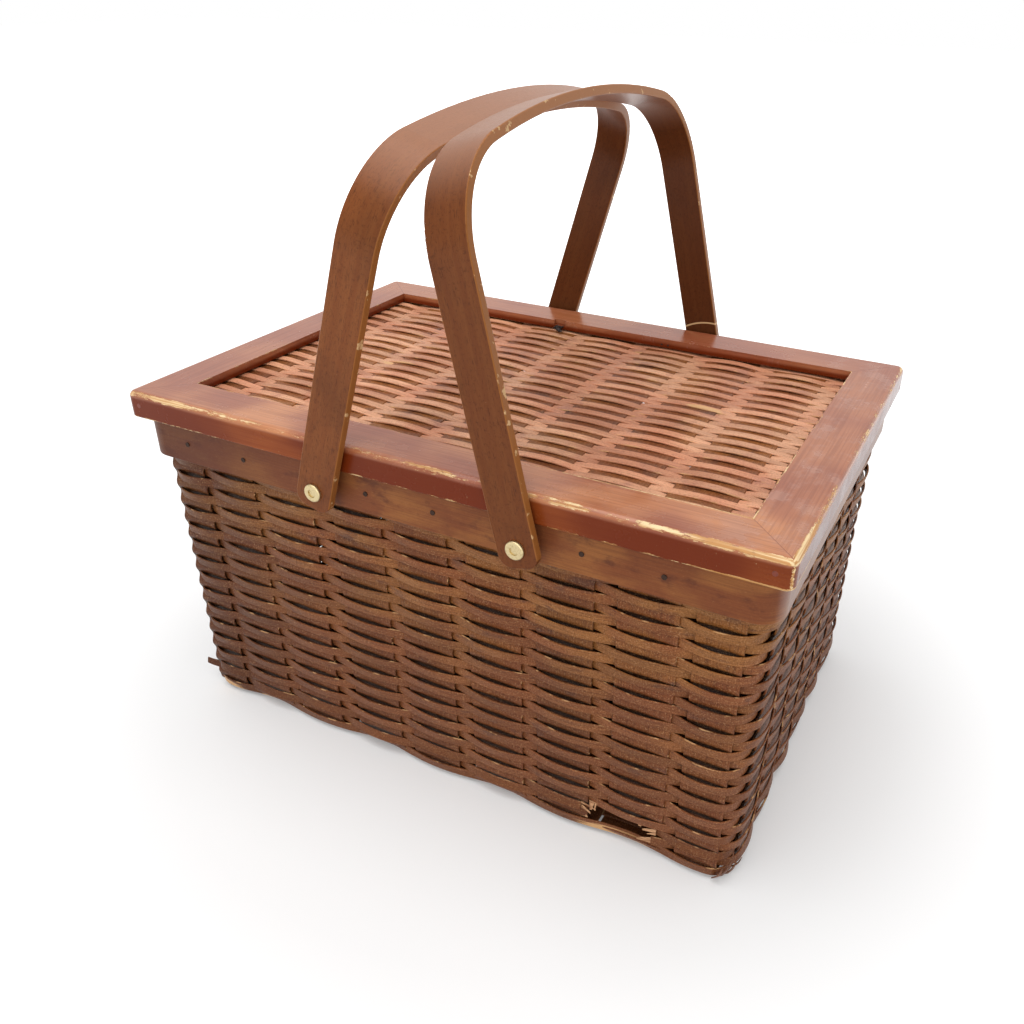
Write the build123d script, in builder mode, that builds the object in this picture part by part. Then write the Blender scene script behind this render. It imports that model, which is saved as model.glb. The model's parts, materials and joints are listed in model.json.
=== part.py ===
from build123d import *
from math import atan, cos, degrees, radians, sin
import os

# Picnic basket of woven wood splint with a hinged lid and two swinging bentwood handles.
# Millimetres. X runs along the basket, +Y to the hinged back, +Z up.
# The origin is under the middle of the basket, on the surface that it stands on.

# Overall sizes
lid_length = 400.0
lid_depth = 269.0
total_height = 222.0

# Lid frame: four mitred rails with a rebate that holds the woven panel
lid_thickness = 16.0
rail_width = 28.5
lid_top_round = 3.7
lid_foot_round = 1.2
lid_corner_round = 5.0
lid_seat_gap = 0.3
lid_overhang = 4.4
rebate_width = 10.0
panel_recess = 6.0
panel_thickness = 4.5
panel_row_pitch = 5.65
panel_stake_pitch = 45.0
panel_stake_middle_x = 5.0
panel_bow_height = 2.7
panel_bow_foot = 2.1
batten_width = 13.0
wood_fit = 0.1

# Rim: an outer and an inner bent band that clamp the top of the woven wall
band_height = 24.1
band_thickness = 2.5
band_fit = 0.1
band_edge_round = 0.6
rim_corner_radius = 14.0

# Woven wall and floor
wall_thickness = 6.0
wall_taper = 2.6
long_stake_count = 9
end_stake_count = 6
wall_row_pitch = 6.2
wall_bow_height = 2.9
bow_sink = 0.2
floor_thickness = 5.0
floor_lift = 1.5
floor_fit = 0.3
torn_hole_width = 36.0
torn_hole_height = 11.0
torn_hole_x = 120.0
torn_hole_z = 20.0
torn_hole_tilt = 12.0

# Bentwood handles
handle_width = 22.4
handle_thickness = 5.0
handle_side_gap = 2.4
handle_tail = 10.8
handle_end_round = 7.0
handle_edge_round = 0.7
leg_upright = 20.0
leg_sweep_radius = 400.0
leg_lean = 0.8
leg_run = 113.4
shoulder_radius = 49.6
crown_angle = 10.9
pivot_drop = 28.2
left_pivot_x = -58.0
right_pivot_x = 66.3
handle_rest_gap = 0.6
handle_meet_x = 10.3

# Rivets, spacers and burrs of the handle pivots
rivet_radius = 2.5
rivet_head_radius = 5.2
rivet_head_thickness = 1.6
rivet_dimple_radius = 2.4
rivet_dimple_depth = 0.7
rivet_tail_radius = 3.8
rivet_tail_thickness = 1.2
pivot_fit = 0.06
seat_fit = 0.04
spacer_radius = 7.0
face_fit = 0.2
burr_radius = 5.5
burr_thickness = 1.2

# Wire hinges: an eye on the rim holds the cross bar of a wire staple in the lid
hinge_wire_radius = 0.7
hinge_fit = 0.1
hinge_inset = 3.0
hinge_drop = 4.2
hinge_spread = 40.5
hinge_middle_x = 4.5
staple_half_width = 2.3
staple_bend = 1.2
staple_end_length = 5.0
eye_stem_length = 26.0
eye_bend = 1.6
eye_point_length = 1.2
socket_clearance = 0.4
notch_depth = 2.5
notch_half_width = 4.5

# Nails
nail_radius = 0.75
nail_head_radius = 1.4
nail_head_thickness = 0.5
nail_fit = 0.03
rim_nail_pitch = 43.0
rim_nail_middle_x = 10.5
batten_nail_pitch = 82.0
nail_point_cover = 2.0
corner_nail_length = 22.0
corner_nail_inset = 9.0
corner_nail_step = 4.0

# Heights and half sizes worked out from the sizes above
half_length = lid_length / 2
half_depth = lid_depth / 2
lid_bottom = total_height - lid_thickness
rim_top = lid_bottom - lid_seat_gap
rim_bottom = rim_top - band_height
rim_half_length = half_length - lid_overhang
rim_half_depth = half_depth - lid_overhang
wall_inset = band_thickness + band_fit
inner_band_inset = wall_inset + wall_thickness + band_fit
wall_lean = degrees(atan(wall_taper / rim_bottom))
wall_corner_radius = rim_corner_radius - wall_inset
wall_foot_half_length = rim_half_length - wall_inset - wall_taper
wall_foot_half_depth = rim_half_depth - wall_inset - wall_taper
rim_inside = inner_band_inset + band_thickness
pivot_z = total_height - pivot_drop
panel_top = total_height - panel_recess
panel_bottom = panel_top - panel_thickness
rebate_line = rail_width - rebate_width
leg_inside = half_depth + handle_side_gap
leg_outside = leg_inside + handle_thickness
hinge_y = half_depth - hinge_inset
hinge_z = total_height - hinge_drop
eye_ring_radius = 2 * hinge_wire_radius + hinge_fit
eye_stem_y = rim_half_depth + hinge_wire_radius + hinge_fit
stem_top_z = hinge_z - (eye_ring_radius**2 - (hinge_y - eye_stem_y) ** 2) ** 0.5
eye_foot_z = hinge_z - eye_stem_length
eye_point_y = rim_half_depth - rim_inside - eye_point_length
hinge_places = {"left": hinge_middle_x - hinge_spread, "right": hinge_middle_x + hinge_spread}
pivot_places = {"left": left_pivot_x, "right": right_pivot_x}
side_signs = {"front": -1, "back": 1}

os.makedirs("parts", exist_ok=True)


def finish(piece, name):
    """Label a finished piece and write it to its own file."""
    piece.part.label = name
    export_step(piece.part, f"parts/{name}.step")


def rim_rectangle(inset):
    """Sketch the rim's rounded outline, drawn in by the given inset."""
    corner = max(rim_corner_radius - inset, handle_edge_round)
    RectangleRounded(2 * (rim_half_length - inset), 2 * (rim_half_depth - inset), corner)


def eye_stem(x, fit=0.0, mode=Mode.ADD):
    """Build the stem of a hinge eye, down the rim and in through it, or cut its hole."""
    with BuildLine() as stem_line:
        FilletPolyline(
            (x, eye_stem_y, stem_top_z),
            (x, eye_stem_y, eye_foot_z),
            (x, eye_point_y, eye_foot_z),
            radius=eye_bend,
        )
    with BuildSketch(Plane(origin=(x, eye_stem_y, stem_top_z), z_dir=(0, 0, -1))) as stem_section:
        Circle(hinge_wire_radius + fit)
    sweep(stem_section.sketch, path=stem_line.wire(), mode=mode)


# Nail places along the long sides and the ends of the rim, clear of the corners
long_reach = rim_half_length - rim_corner_radius - nail_head_radius
rim_nail_x = [
    rim_nail_middle_x + step * rim_nail_pitch
    for step in range(-12, 13)
    if abs(rim_nail_middle_x + step * rim_nail_pitch) < long_reach
]
end_reach = rim_half_depth - rim_corner_radius - nail_head_radius
rim_nail_y = [step * rim_nail_pitch for step in range(-12, 13) if abs(step * rim_nail_pitch) < end_reach]


def nail_holes(radius):
    """Cut the nails' and rivets' holes through the piece that is being built."""
    for x in rim_nail_x:
        with Locations(Location((x, 0, pivot_z), (90, 0, 0))):
            Cylinder(radius, 2 * lid_depth, mode=Mode.SUBTRACT)
    for y in rim_nail_y:
        with Locations(Location((0, y, pivot_z), (0, 90, 0))):
            Cylinder(radius, 2 * lid_length, mode=Mode.SUBTRACT)
    for x in pivot_places.values():
        with Locations(Location((x, 0, pivot_z), (90, 0, 0))):
            Cylinder(rivet_radius + seat_fit, 2 * lid_depth, mode=Mode.SUBTRACT)
    for x in hinge_places.values():
        eye_stem(x, seat_fit, Mode.SUBTRACT)


def bow_row(borders, first, height, width):
    """Build the bows of one splint, from every second border between the stakes to the next.

    The splint runs along X with its face at Y = 0, bows out along -Y and is as wide as given
    along Z. The first bow is the one with the given number.
    """
    with BuildPart() as row:
        with BuildSketch(Plane.XY):
            for start, end in list(zip(borders, borders[1:]))[first::2]:
                with BuildLine() as bow:
                    ThreePointArc((start, bow_sink), ((start + end) / 2, -height), (end, bow_sink))
                    Line((end, bow_sink), (start, bow_sink))
                make_face(bow.edges())
        extrude(amount=width)
    return row.part


def wall_block(inset):
    """Build the block inside the wall's outline, drawn in by the given inset."""
    with BuildPart() as block:
        with BuildSketch(Plane.XY):
            Rectangle(2 * (wall_foot_half_length - inset), 2 * (wall_foot_half_depth - inset))
        extrude(amount=rim_bottom, taper=-wall_lean)
        corner_edges = block.edges().filter_by(Axis.X, reverse=True).filter_by(Axis.Y, reverse=True)
        fillet(corner_edges, wall_corner_radius - inset)
        extrude(block.faces().sort_by(Axis.Z)[-1], amount=band_height)
    return block.part


# Borders between the stakes of the wall, from one corner to the next
long_stake_pitch = 2 * rim_half_length / long_stake_count
end_stake_pitch = 2 * rim_half_depth / end_stake_count
wall_row_count = int((rim_bottom - wall_row_pitch / 2) // wall_row_pitch)


def stake_borders(count, pitch, half_flat):
    """List the borders between the stakes of one wall, which ends where its corners start."""
    inner = [(step - count / 2) * pitch for step in range(1, count)]
    return [-half_flat, *inner, half_flat]


long_borders = stake_borders(long_stake_count, long_stake_pitch, wall_foot_half_length - wall_corner_radius)
end_borders = stake_borders(end_stake_count, end_stake_pitch, wall_foot_half_depth - wall_corner_radius)

# The splint rows of the wall: in each row every second stake has the splint bowed over it
wall_sides = {
    "front": (long_borders, wall_foot_half_depth, 0, (0, -1)),
    "right": (end_borders, wall_foot_half_length, 90, (1, 0)),
    "back": (long_borders, wall_foot_half_depth, 180, (0, 1)),
    "left": (end_borders, wall_foot_half_length, 270, (-1, 0)),
}
wall_bows = []
stakes_before = 0
for borders, foot, turn, outward in wall_sides.values():
    for parity in (0, 1):
        splint = bow_row(borders, (parity + stakes_before) % 2, wall_bow_height, wall_row_pitch)
        for row in range(parity, wall_row_count, 2):
            row_z = (row + 0.5) * wall_row_pitch
            face = foot - wall_bow_height + wall_taper * row_z / rim_bottom
            place = Location((outward[0] * face, outward[1] * face, row_z), (0, 0, turn))
            wall_bows += [place * bow for bow in splint.solids()]
    stakes_before += len(borders) - 1

# Woven wall, a shell that leans out up to the rim and stands straight between the bands
with BuildPart() as woven_wall:
    add(wall_block(wall_bow_height))
    with BuildSketch(Plane.XY.offset(rim_bottom)):
        rim_rectangle(wall_inset)
    extrude(amount=band_height)
    add(wall_block(wall_thickness), mode=Mode.SUBTRACT)
    nail_holes(nail_radius + nail_fit)
    add(wall_bows)
    # The hole that is torn in the front wall, low down on the right
    with BuildSketch(Plane.XZ.offset(rim_half_depth - wall_inset - 2 * wall_thickness)):
        with Locations((torn_hole_x, torn_hole_z)):
            Ellipse(torn_hole_width / 2, torn_hole_height / 2, rotation=-torn_hole_tilt)
    extrude(amount=3 * wall_thickness, mode=Mode.SUBTRACT)
finish(woven_wall, "woven_wall")

# Woven floor, let in between the foot of the walls
with BuildPart() as woven_floor:
    with BuildSketch(Plane.XY.offset(floor_lift)):
        floor_inset = wall_thickness + floor_fit
        floor_half_length = wall_foot_half_length - floor_inset
        floor_half_depth = wall_foot_half_depth - floor_inset
        RectangleRounded(2 * floor_half_length, 2 * floor_half_depth, wall_corner_radius - wall_thickness)
    extrude(amount=floor_thickness)
finish(woven_floor, "woven_floor")

# Outer rim band
with BuildPart() as outer_rim_band:
    with BuildSketch(Plane.XY.offset(rim_bottom)):
        rim_rectangle(0)
        offset(amount=-band_thickness, mode=Mode.SUBTRACT)
    extrude(amount=band_height)
    outside_edges = outer_rim_band.faces().sort_by(Axis.Z)[0].outer_wire().edges()
    fillet(outside_edges, band_edge_round)
    nail_holes(nail_radius + nail_fit)
finish(outer_rim_band, "outer_rim_band")

# Inner rim band
with BuildPart() as inner_rim_band:
    with BuildSketch(Plane.XY.offset(rim_bottom)):
        rim_rectangle(inner_band_inset)
        offset(amount=-band_thickness, mode=Mode.SUBTRACT)
    extrude(amount=band_height)
    nail_holes(nail_radius + nail_fit)
finish(inner_rim_band, "inner_rim_band")


def nail(length, fit=0.0, mode=Mode.ADD):
    """Build a nail along -Z of the current place, its head's underside at the place's origin."""
    shank_align = (Align.CENTER, Align.CENTER, Align.MAX)
    head_align = (Align.CENTER, Align.CENTER, Align.MIN)
    Cylinder(nail_radius + fit, length, align=shank_align, mode=mode)
    Cylinder(nail_head_radius + fit, nail_head_thickness, align=head_align, mode=mode)


# Nails that hold the wall between the two bands
rim_nail_length = rim_inside - nail_head_thickness
with BuildPart() as rim_nails:
    for x in rim_nail_x:
        with Locations(Location((x, -rim_half_depth, pivot_z), (90, 0, 0))):
            nail(rim_nail_length)
        with Locations(Location((x, rim_half_depth, pivot_z), (-90, 0, 0))):
            nail(rim_nail_length)
    for y in rim_nail_y:
        with Locations(Location((-rim_half_length, y, pivot_z), (0, -90, 0))):
            nail(rim_nail_length)
        with Locations(Location((rim_half_length, y, pivot_z), (0, 90, 0))):
            nail(rim_nail_length)
finish(rim_nails, "rim_nails")

# Lid frame as one ring, cut into four mitred rails below
with BuildPart() as lid_frame:
    with BuildSketch(Plane.XY.offset(lid_bottom)):
        RectangleRounded(lid_length, lid_depth, lid_corner_round)
    extrude(amount=lid_thickness)
    fillet(lid_frame.faces().sort_by(Axis.Z)[-1].edges(), lid_top_round)
    fillet(lid_frame.faces().sort_by(Axis.Z)[0].edges(), lid_foot_round)
    with BuildSketch(Plane.XY.offset(lid_bottom)):
        Rectangle(lid_length - 2 * rail_width, lid_depth - 2 * rail_width)
    extrude(amount=lid_thickness, mode=Mode.SUBTRACT)
    with BuildSketch(Plane.XY.offset(lid_bottom)):
        Rectangle(lid_length - 2 * rebate_line, lid_depth - 2 * rebate_line)
    extrude(amount=panel_top - lid_bottom, mode=Mode.SUBTRACT)
    # Sockets for the rim's hinge eyes, holes for the hinge staples
    for x in hinge_places.values():
        socket_radius = 3 * hinge_wire_radius + hinge_fit + socket_clearance
        socket_half_width = staple_half_width + hinge_wire_radius + socket_clearance
        with BuildSketch(Plane.YZ.offset(x)):
            with Locations((hinge_y, hinge_z)):
                Circle(socket_radius)
            with Locations((hinge_y - socket_radius, hinge_z)):
                Rectangle(
                    socket_radius + 2 * hinge_inset,
                    lid_thickness,
                    align=(Align.MIN, Align.MAX),
                )
        extrude(amount=socket_half_width, both=True, mode=Mode.SUBTRACT)
        for side in (-1, 1):
            staple_x = x + side * staple_half_width
            with Locations(Location((staple_x, hinge_y, hinge_z), (90, 0, 0))):
                Cylinder(
                    hinge_wire_radius + seat_fit,
                    rail_width,
                    align=(Align.CENTER, Align.CENTER, Align.MIN),
                    mode=Mode.SUBTRACT,
                )
    # The broken notch at the inner edge of the back rail, over the left hinge
    with Locations((hinge_places["left"], half_depth - rail_width, total_height)):
        Box(
            2 * notch_half_width,
            2 * notch_depth,
            2 * (hinge_drop - hinge_wire_radius),
            mode=Mode.SUBTRACT,
        )

# Nails of the lid: brads up through the battens, and nails through the mitred corners
batten_nail_inset = (rebate_line + rail_width) / 2
batten_nail_length = lid_thickness - nail_point_cover
long_count = int((half_length - rail_width) // batten_nail_pitch)
short_count = int((half_depth - rail_width) // batten_nail_pitch)
long_nails = [
    (step * batten_nail_pitch, sign * (half_depth - batten_nail_inset))
    for step in range(-long_count, long_count + 1)
    for sign in (-1, 1)
]
short_nails = [
    (sign * (half_length - batten_nail_inset), step * batten_nail_pitch)
    for step in range(-short_count, short_count + 1)
    for sign in (-1, 1)
]
batten_nail_places = long_nails + short_nails
corner_nail_z = lid_bottom + lid_thickness / 2


def batten_brads(fit=0.0, mode=Mode.ADD):
    """Build the brads that come up through the battens, or cut their holes."""
    for x, y in batten_nail_places:
        with Locations((x, y, lid_bottom)):
            brad_align = (Align.CENTER, Align.CENTER, Align.MIN)
            Cylinder(nail_radius + fit, batten_nail_length, align=brad_align, mode=mode)


def corner_nails(fit=0.0, mode=Mode.ADD):
    """Build the two nails through each mitred corner of the lid, or cut their holes."""
    for sx in (-1, 1):
        for sy in (-1, 1):
            end_x = sx * (half_length - nail_head_thickness)
            end_y = sy * (half_depth - corner_nail_inset)
            with Locations(Location((end_x, end_y, corner_nail_z - corner_nail_step), (0, sx * 90, 0))):
                nail(corner_nail_length, fit, mode)
            long_x = sx * (half_length - corner_nail_inset)
            long_y = sy * (half_depth - nail_head_thickness)
            with Locations(Location((long_x, long_y, corner_nail_z), (-sy * 90, 0, 0))):
                nail(corner_nail_length, fit, mode)


with BuildPart() as batten_nails:
    batten_brads()
finish(batten_nails, "batten_nails")

with BuildPart() as lid_corner_nails:
    corner_nails()
finish(lid_corner_nails, "lid_corner_nails")

# The four rails, each the frame's ring inside its own mitre wedge
mitre_x = half_length - half_depth
rail_wedges = {
    "front": [(-half_length, -half_depth), (half_length, -half_depth), (mitre_x, 0), (-mitre_x, 0)],
    "back": [(half_length, half_depth), (-half_length, half_depth), (-mitre_x, 0), (mitre_x, 0)],
    "left": [(-half_length, half_depth), (-half_length, -half_depth), (-mitre_x, 0)],
    "right": [(half_length, -half_depth), (half_length, half_depth), (mitre_x, 0)],
}
for side, wedge in rail_wedges.items():
    with BuildPart() as rail:
        add(lid_frame.part)
        with BuildSketch(Plane.XY.offset(lid_bottom)):
            with BuildLine():
                Polyline(*wedge, close=True)
            make_face()
        extrude(amount=lid_thickness, mode=Mode.INTERSECT)
        batten_brads(nail_fit, Mode.SUBTRACT)
        corner_nails(nail_fit, Mode.SUBTRACT)
    finish(rail, f"{side}_lid_rail")

# Woven panel of the lid, let into the rebate from below, its splints bowed over the stakes
window_half_x = half_length - rail_width - wood_fit
window_half_y = half_depth - rail_width - wood_fit
panel_face = panel_top - panel_bow_foot
panel_row_reach = int((window_half_y - panel_row_pitch / 2) // panel_row_pitch)
panel_stake_reach = int((window_half_x - abs(panel_stake_middle_x)) // panel_stake_pitch)
panel_borders = [
    panel_stake_middle_x + (step - 0.5) * panel_stake_pitch
    for step in range(-panel_stake_reach, panel_stake_reach + 2)
]
panel_bows = []
for parity in (0, 1):
    splint = bow_row(panel_borders, parity, panel_bow_height, panel_row_pitch)
    for row in range(-panel_row_reach, panel_row_reach + 1):
        if row % 2 == parity:
            place = Location((0, (row - 0.5) * panel_row_pitch, panel_face), (-90, 0, 0))
            panel_bows += [place * bow for bow in splint.solids()]
with BuildPart() as lid_woven_panel:
    with BuildSketch(Plane.XY.offset(panel_bottom)):
        panel_line = rebate_line + wood_fit
        Rectangle(lid_length - 2 * panel_line, lid_depth - 2 * panel_line)
    extrude(amount=panel_thickness - wood_fit)
    with BuildSketch(Plane.XY.offset(panel_top)):
        Rectangle(2 * window_half_x, 2 * window_half_y)
    extrude(amount=-panel_bow_foot, mode=Mode.SUBTRACT)
    add(panel_bows)
    batten_brads(nail_fit, Mode.SUBTRACT)
finish(lid_woven_panel, "lid_woven_panel")

# Battens that hold the panel up in the rebate
batten_line = rebate_line + wood_fit
batten_height = panel_bottom - lid_bottom - wood_fit
batten_end_y = half_depth - batten_line - batten_width - wood_fit
for side, sign in {"front": -1, "back": 1}.items():
    with BuildPart() as batten:
        with BuildSketch(Plane.XY.offset(lid_bottom)):
            with Locations((0, sign * (half_depth - batten_line - batten_width / 2))):
                Rectangle(lid_length - 2 * batten_line, batten_width)
        extrude(amount=batten_height)
        batten_brads(nail_fit, Mode.SUBTRACT)
    finish(batten, f"{side}_lid_batten")
for side, sign in {"left": -1, "right": 1}.items():
    with BuildPart() as batten:
        with BuildSketch(Plane.XY.offset(lid_bottom)):
            with Locations((sign * (half_length - batten_line - batten_width / 2), 0)):
                Rectangle(batten_width, 2 * batten_end_y)
        extrude(amount=batten_height)
        batten_brads(nail_fit, Mode.SUBTRACT)
    finish(batten, f"{side}_lid_batten")

# Hinge staples: a wire that comes out of the back rail, crosses the socket and goes back in
rail_inner_y = half_depth - rail_width
staple_ends = {"left": rail_inner_y - staple_end_length, "right": rail_inner_y + wood_fit}
for side, x in hinge_places.items():
    low_x = x - staple_half_width
    high_x = x + staple_half_width
    end_y = staple_ends[side]
    with BuildPart() as staple:
        with BuildLine() as staple_line:
            FilletPolyline(
                (low_x, end_y, hinge_z),
                (low_x, hinge_y, hinge_z),
                (high_x, hinge_y, hinge_z),
                (high_x, end_y, hinge_z),
                radius=staple_bend,
            )
        with BuildSketch(Plane(origin=(low_x, end_y, hinge_z), z_dir=(0, 1, 0))):
            Circle(hinge_wire_radius)
        sweep(path=staple_line.wire())
    finish(staple, f"{side}_hinge_staple")

# Hinge eyes: a ring round the staple's cross bar on a stem that is driven through the rim
for side, x in hinge_places.items():
    with BuildPart() as eye:
        with Locations(Location((x, hinge_y, hinge_z), (0, 90, 0))):
            Torus(eye_ring_radius, hinge_wire_radius)
        eye_stem(x)
    finish(eye, f"{side}_hinge_eye")

# Handles: a bent strip whose legs are riveted to the front and the back of the rim
lean = radians(leg_lean)
crown = radians(crown_angle)
shoulder_end_y = (
    -leg_outside
    + leg_sweep_radius * (1 - cos(lean))
    + leg_run * sin(lean)
    + shoulder_radius * (cos(lean) - sin(crown))
)
crown_radius = -shoulder_end_y / sin(crown)
apex_height = (
    leg_upright
    + leg_sweep_radius * sin(lean)
    + leg_run * cos(lean)
    + shoulder_radius * (cos(crown) - sin(lean))
    + crown_radius * (1 - cos(crown))
)


def handle_face_line(inset):
    """Draw half of the handle's line, inset from its outer face, from the leg's end to the apex."""
    foot = (-(leg_outside - inset), -handle_tail)
    upright = Line(foot, (foot[0], leg_upright))
    sweep_in = JernArc(upright @ 1, (0, 1), leg_sweep_radius - inset, -leg_lean)
    run = Line(sweep_in @ 1, (sweep_in @ 1) + (sweep_in % 1) * leg_run)
    shoulder = JernArc(run @ 1, run % 1, shoulder_radius - inset, -(90 - leg_lean - crown_angle))
    top = JernArc(shoulder @ 1, shoulder % 1, crown_radius - inset, -crown_angle)
    return foot, top @ 1


def solve_lean(pivot_x):
    """Find the lean in degrees at which a handle's outer edge reaches the other handle."""
    reach = abs(handle_meet_x - pivot_x) - handle_rest_gap / 2
    low, high = 0.0, 45.0
    for _ in range(60):
        middle = (low + high) / 2
        here = apex_height * sin(radians(middle)) + handle_width / 2 * cos(radians(middle))
        if here < reach:
            low = middle
        else:
            high = middle
    return low


for side, pivot_x in pivot_places.items():
    tilt = radians(solve_lean(pivot_x)) * (1 if pivot_x < handle_meet_x else -1)
    handle_plane = Plane(
        origin=(pivot_x, 0, pivot_z), x_dir=(0, 1, 0), z_dir=(cos(tilt), 0, -sin(tilt))
    )
    with BuildPart() as handle:
        with BuildSketch(handle_plane):
            with BuildLine():
                outer_foot, outer_top = handle_face_line(0)
                inner_foot, inner_top = handle_face_line(handle_thickness)
                Line(outer_foot, inner_foot)
                Line(outer_top, inner_top)
            make_face()
            mirror(about=Plane.YZ)
        extrude(amount=handle_width / 2, both=True)
        leg_ends = handle.edges().filter_by(Axis.Y).sort_by(Axis.Z)[:4]
        fillet(leg_ends, handle_end_round)
        flat_sides = handle.faces().filter_by(Plane(handle_plane.origin, z_dir=handle_plane.z_dir))
        fillet(flat_sides.edges(), handle_edge_round)
        with Locations(Location((pivot_x, 0, pivot_z), (90, 0, 0))):
            Cylinder(rivet_radius + pivot_fit, 2 * lid_depth, mode=Mode.SUBTRACT)
    finish(handle, f"{side}_handle")
    print(side, "handle leans", round(solve_lean(pivot_x), 2), "apex", round(apex_height, 2))

# Rivets, spacers and burrs, one set for each leg
rivet_inside = rim_half_depth - rim_inside - burr_thickness
for side, pivot_x in pivot_places.items():
    for face, sign in side_signs.items():
        turn = (-90 * sign, 0, 0)
        with BuildPart() as rivet:
            with Locations(Location((pivot_x, sign * (leg_outside + face_fit), pivot_z), turn)):
                Cylinder(
                    rivet_head_radius,
                    rivet_head_thickness,
                    align=(Align.CENTER, Align.CENTER, Align.MIN),
                )
            head_top = rivet.faces().sort_by(Axis.Y)[0 if sign < 0 else -1]
            fillet(head_top.edges(), rivet_head_thickness / 2)
            outer_y = sign * (leg_outside + face_fit + rivet_head_thickness)
            with Locations(Location((pivot_x, outer_y, pivot_z), turn)):
                Cylinder(
                    rivet_dimple_radius,
                    rivet_dimple_depth,
                    align=(Align.CENTER, Align.CENTER, Align.MAX),
                    mode=Mode.SUBTRACT,
                )
            with Locations(Location((pivot_x, sign * (leg_outside + face_fit), pivot_z), turn)):
                Cylinder(
                    rivet_radius,
                    leg_outside + face_fit - rivet_inside + wood_fit,
                    align=(Align.CENTER, Align.CENTER, Align.MAX),
                )
            with Locations(Location((pivot_x, sign * (rivet_inside - wood_fit), pivot_z), turn)):
                Cylinder(
                    rivet_tail_radius,
                    rivet_tail_thickness,
                    align=(Align.CENTER, Align.CENTER, Align.MAX),
                )
        finish(rivet, f"{side}_{face}_rivet")
        with BuildPart() as spacer:
            with Locations(Location((pivot_x, sign * rim_half_depth, pivot_z), turn)):
                Cylinder(
                    spacer_radius,
                    leg_inside - rim_half_depth - face_fit,
                    align=(Align.CENTER, Align.CENTER, Align.MIN),
                )
                Cylinder(rivet_radius + seat_fit, 2 * lid_depth, mode=Mode.SUBTRACT)
        finish(spacer, f"{side}_{face}_spacer")
        with BuildPart() as burr:
            with Locations(Location((pivot_x, sign * (rim_half_depth - rim_inside), pivot_z), turn)):
                Cylinder(
                    burr_radius,
                    burr_thickness,
                    align=(Align.CENTER, Align.CENTER, Align.MAX),
                )
                Cylinder(rivet_radius + seat_fit, 2 * lid_depth, mode=Mode.SUBTRACT)
        finish(burr, f"{side}_{face}_burr")
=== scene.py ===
import json
import logging
import math
from dataclasses import dataclass
from enum import Enum
from functools import reduce

import bpy
import numpy as np
from mathutils import Matrix, Vector


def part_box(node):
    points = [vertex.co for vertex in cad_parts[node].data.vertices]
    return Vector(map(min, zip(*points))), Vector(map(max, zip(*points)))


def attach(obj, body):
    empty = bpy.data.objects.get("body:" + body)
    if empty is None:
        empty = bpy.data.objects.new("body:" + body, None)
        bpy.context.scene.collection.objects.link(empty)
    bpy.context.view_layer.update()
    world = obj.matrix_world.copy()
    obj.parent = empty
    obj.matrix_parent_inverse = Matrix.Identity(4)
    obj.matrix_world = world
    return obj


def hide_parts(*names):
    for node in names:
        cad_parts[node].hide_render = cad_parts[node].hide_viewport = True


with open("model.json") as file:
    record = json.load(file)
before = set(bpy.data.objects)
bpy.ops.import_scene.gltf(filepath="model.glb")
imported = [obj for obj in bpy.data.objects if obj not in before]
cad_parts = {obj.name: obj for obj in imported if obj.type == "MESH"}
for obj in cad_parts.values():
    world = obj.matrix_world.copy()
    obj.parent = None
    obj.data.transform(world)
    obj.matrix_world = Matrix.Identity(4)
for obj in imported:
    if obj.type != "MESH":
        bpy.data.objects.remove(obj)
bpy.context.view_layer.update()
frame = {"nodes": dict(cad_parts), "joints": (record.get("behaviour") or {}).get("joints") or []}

LOG = logging.getLogger("picnic_basket")
MM = 0.001

# Attributes that every splint carries, so that its finish can follow it
ALONG = "along"
ACROSS = "across"
TONE = "tone"
# Share of painted shade, which lies on the stakes just above each weaver in front
RECESS_SHADE = "pool"

# Directions and colours that are used throughout
ACROSS_X = np.array([1.0, 0.0, 0.0])
ACROSS_Y = np.array([0.0, 1.0, 0.0])
UPRIGHT = np.array([0.0, 0.0, 1.0])
WHITE = (1.0, 1.0, 1.0, 1.0)
SHARP_DEGREES = 38


class Body(Enum):
    """The bodies that the pieces made here ride on."""

    BASKET = "basket"
    LID = "lid"


class Grain(Enum):
    """The direction that a rail's grain runs in."""

    ALONG_X = 0
    ALONG_Y = 1


class Wall(Enum):
    """The four walls, in the order that the weaving goes round."""

    FRONT = 0
    RIGHT = 1
    BACK = 2
    LEFT = 3


class Rows(Enum):
    """Which rows of a weave one piece holds; neighbours pass over opposite stakes."""

    EVEN = 0
    ODD = 1


def linear(hex_colour: str) -> tuple[float, float, float, float]:
    """Turn an sRGB hex colour into Blender's linear colour.

    Args:
        hex_colour: Colour such as "#8a4a30".

    Returns:
        Linear red, green, blue and an alpha of 1.
    """
    digits = hex_colour.lstrip("#")
    channels = [int(digits[i : i + 2], 16) / 255 for i in (0, 2, 4)]
    scaled = [c / 12.92 if c <= 0.04045 else ((c + 0.055) / 1.055) ** 2.4 for c in channels]
    return (scaled[0], scaled[1], scaled[2], 1.0)


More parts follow.
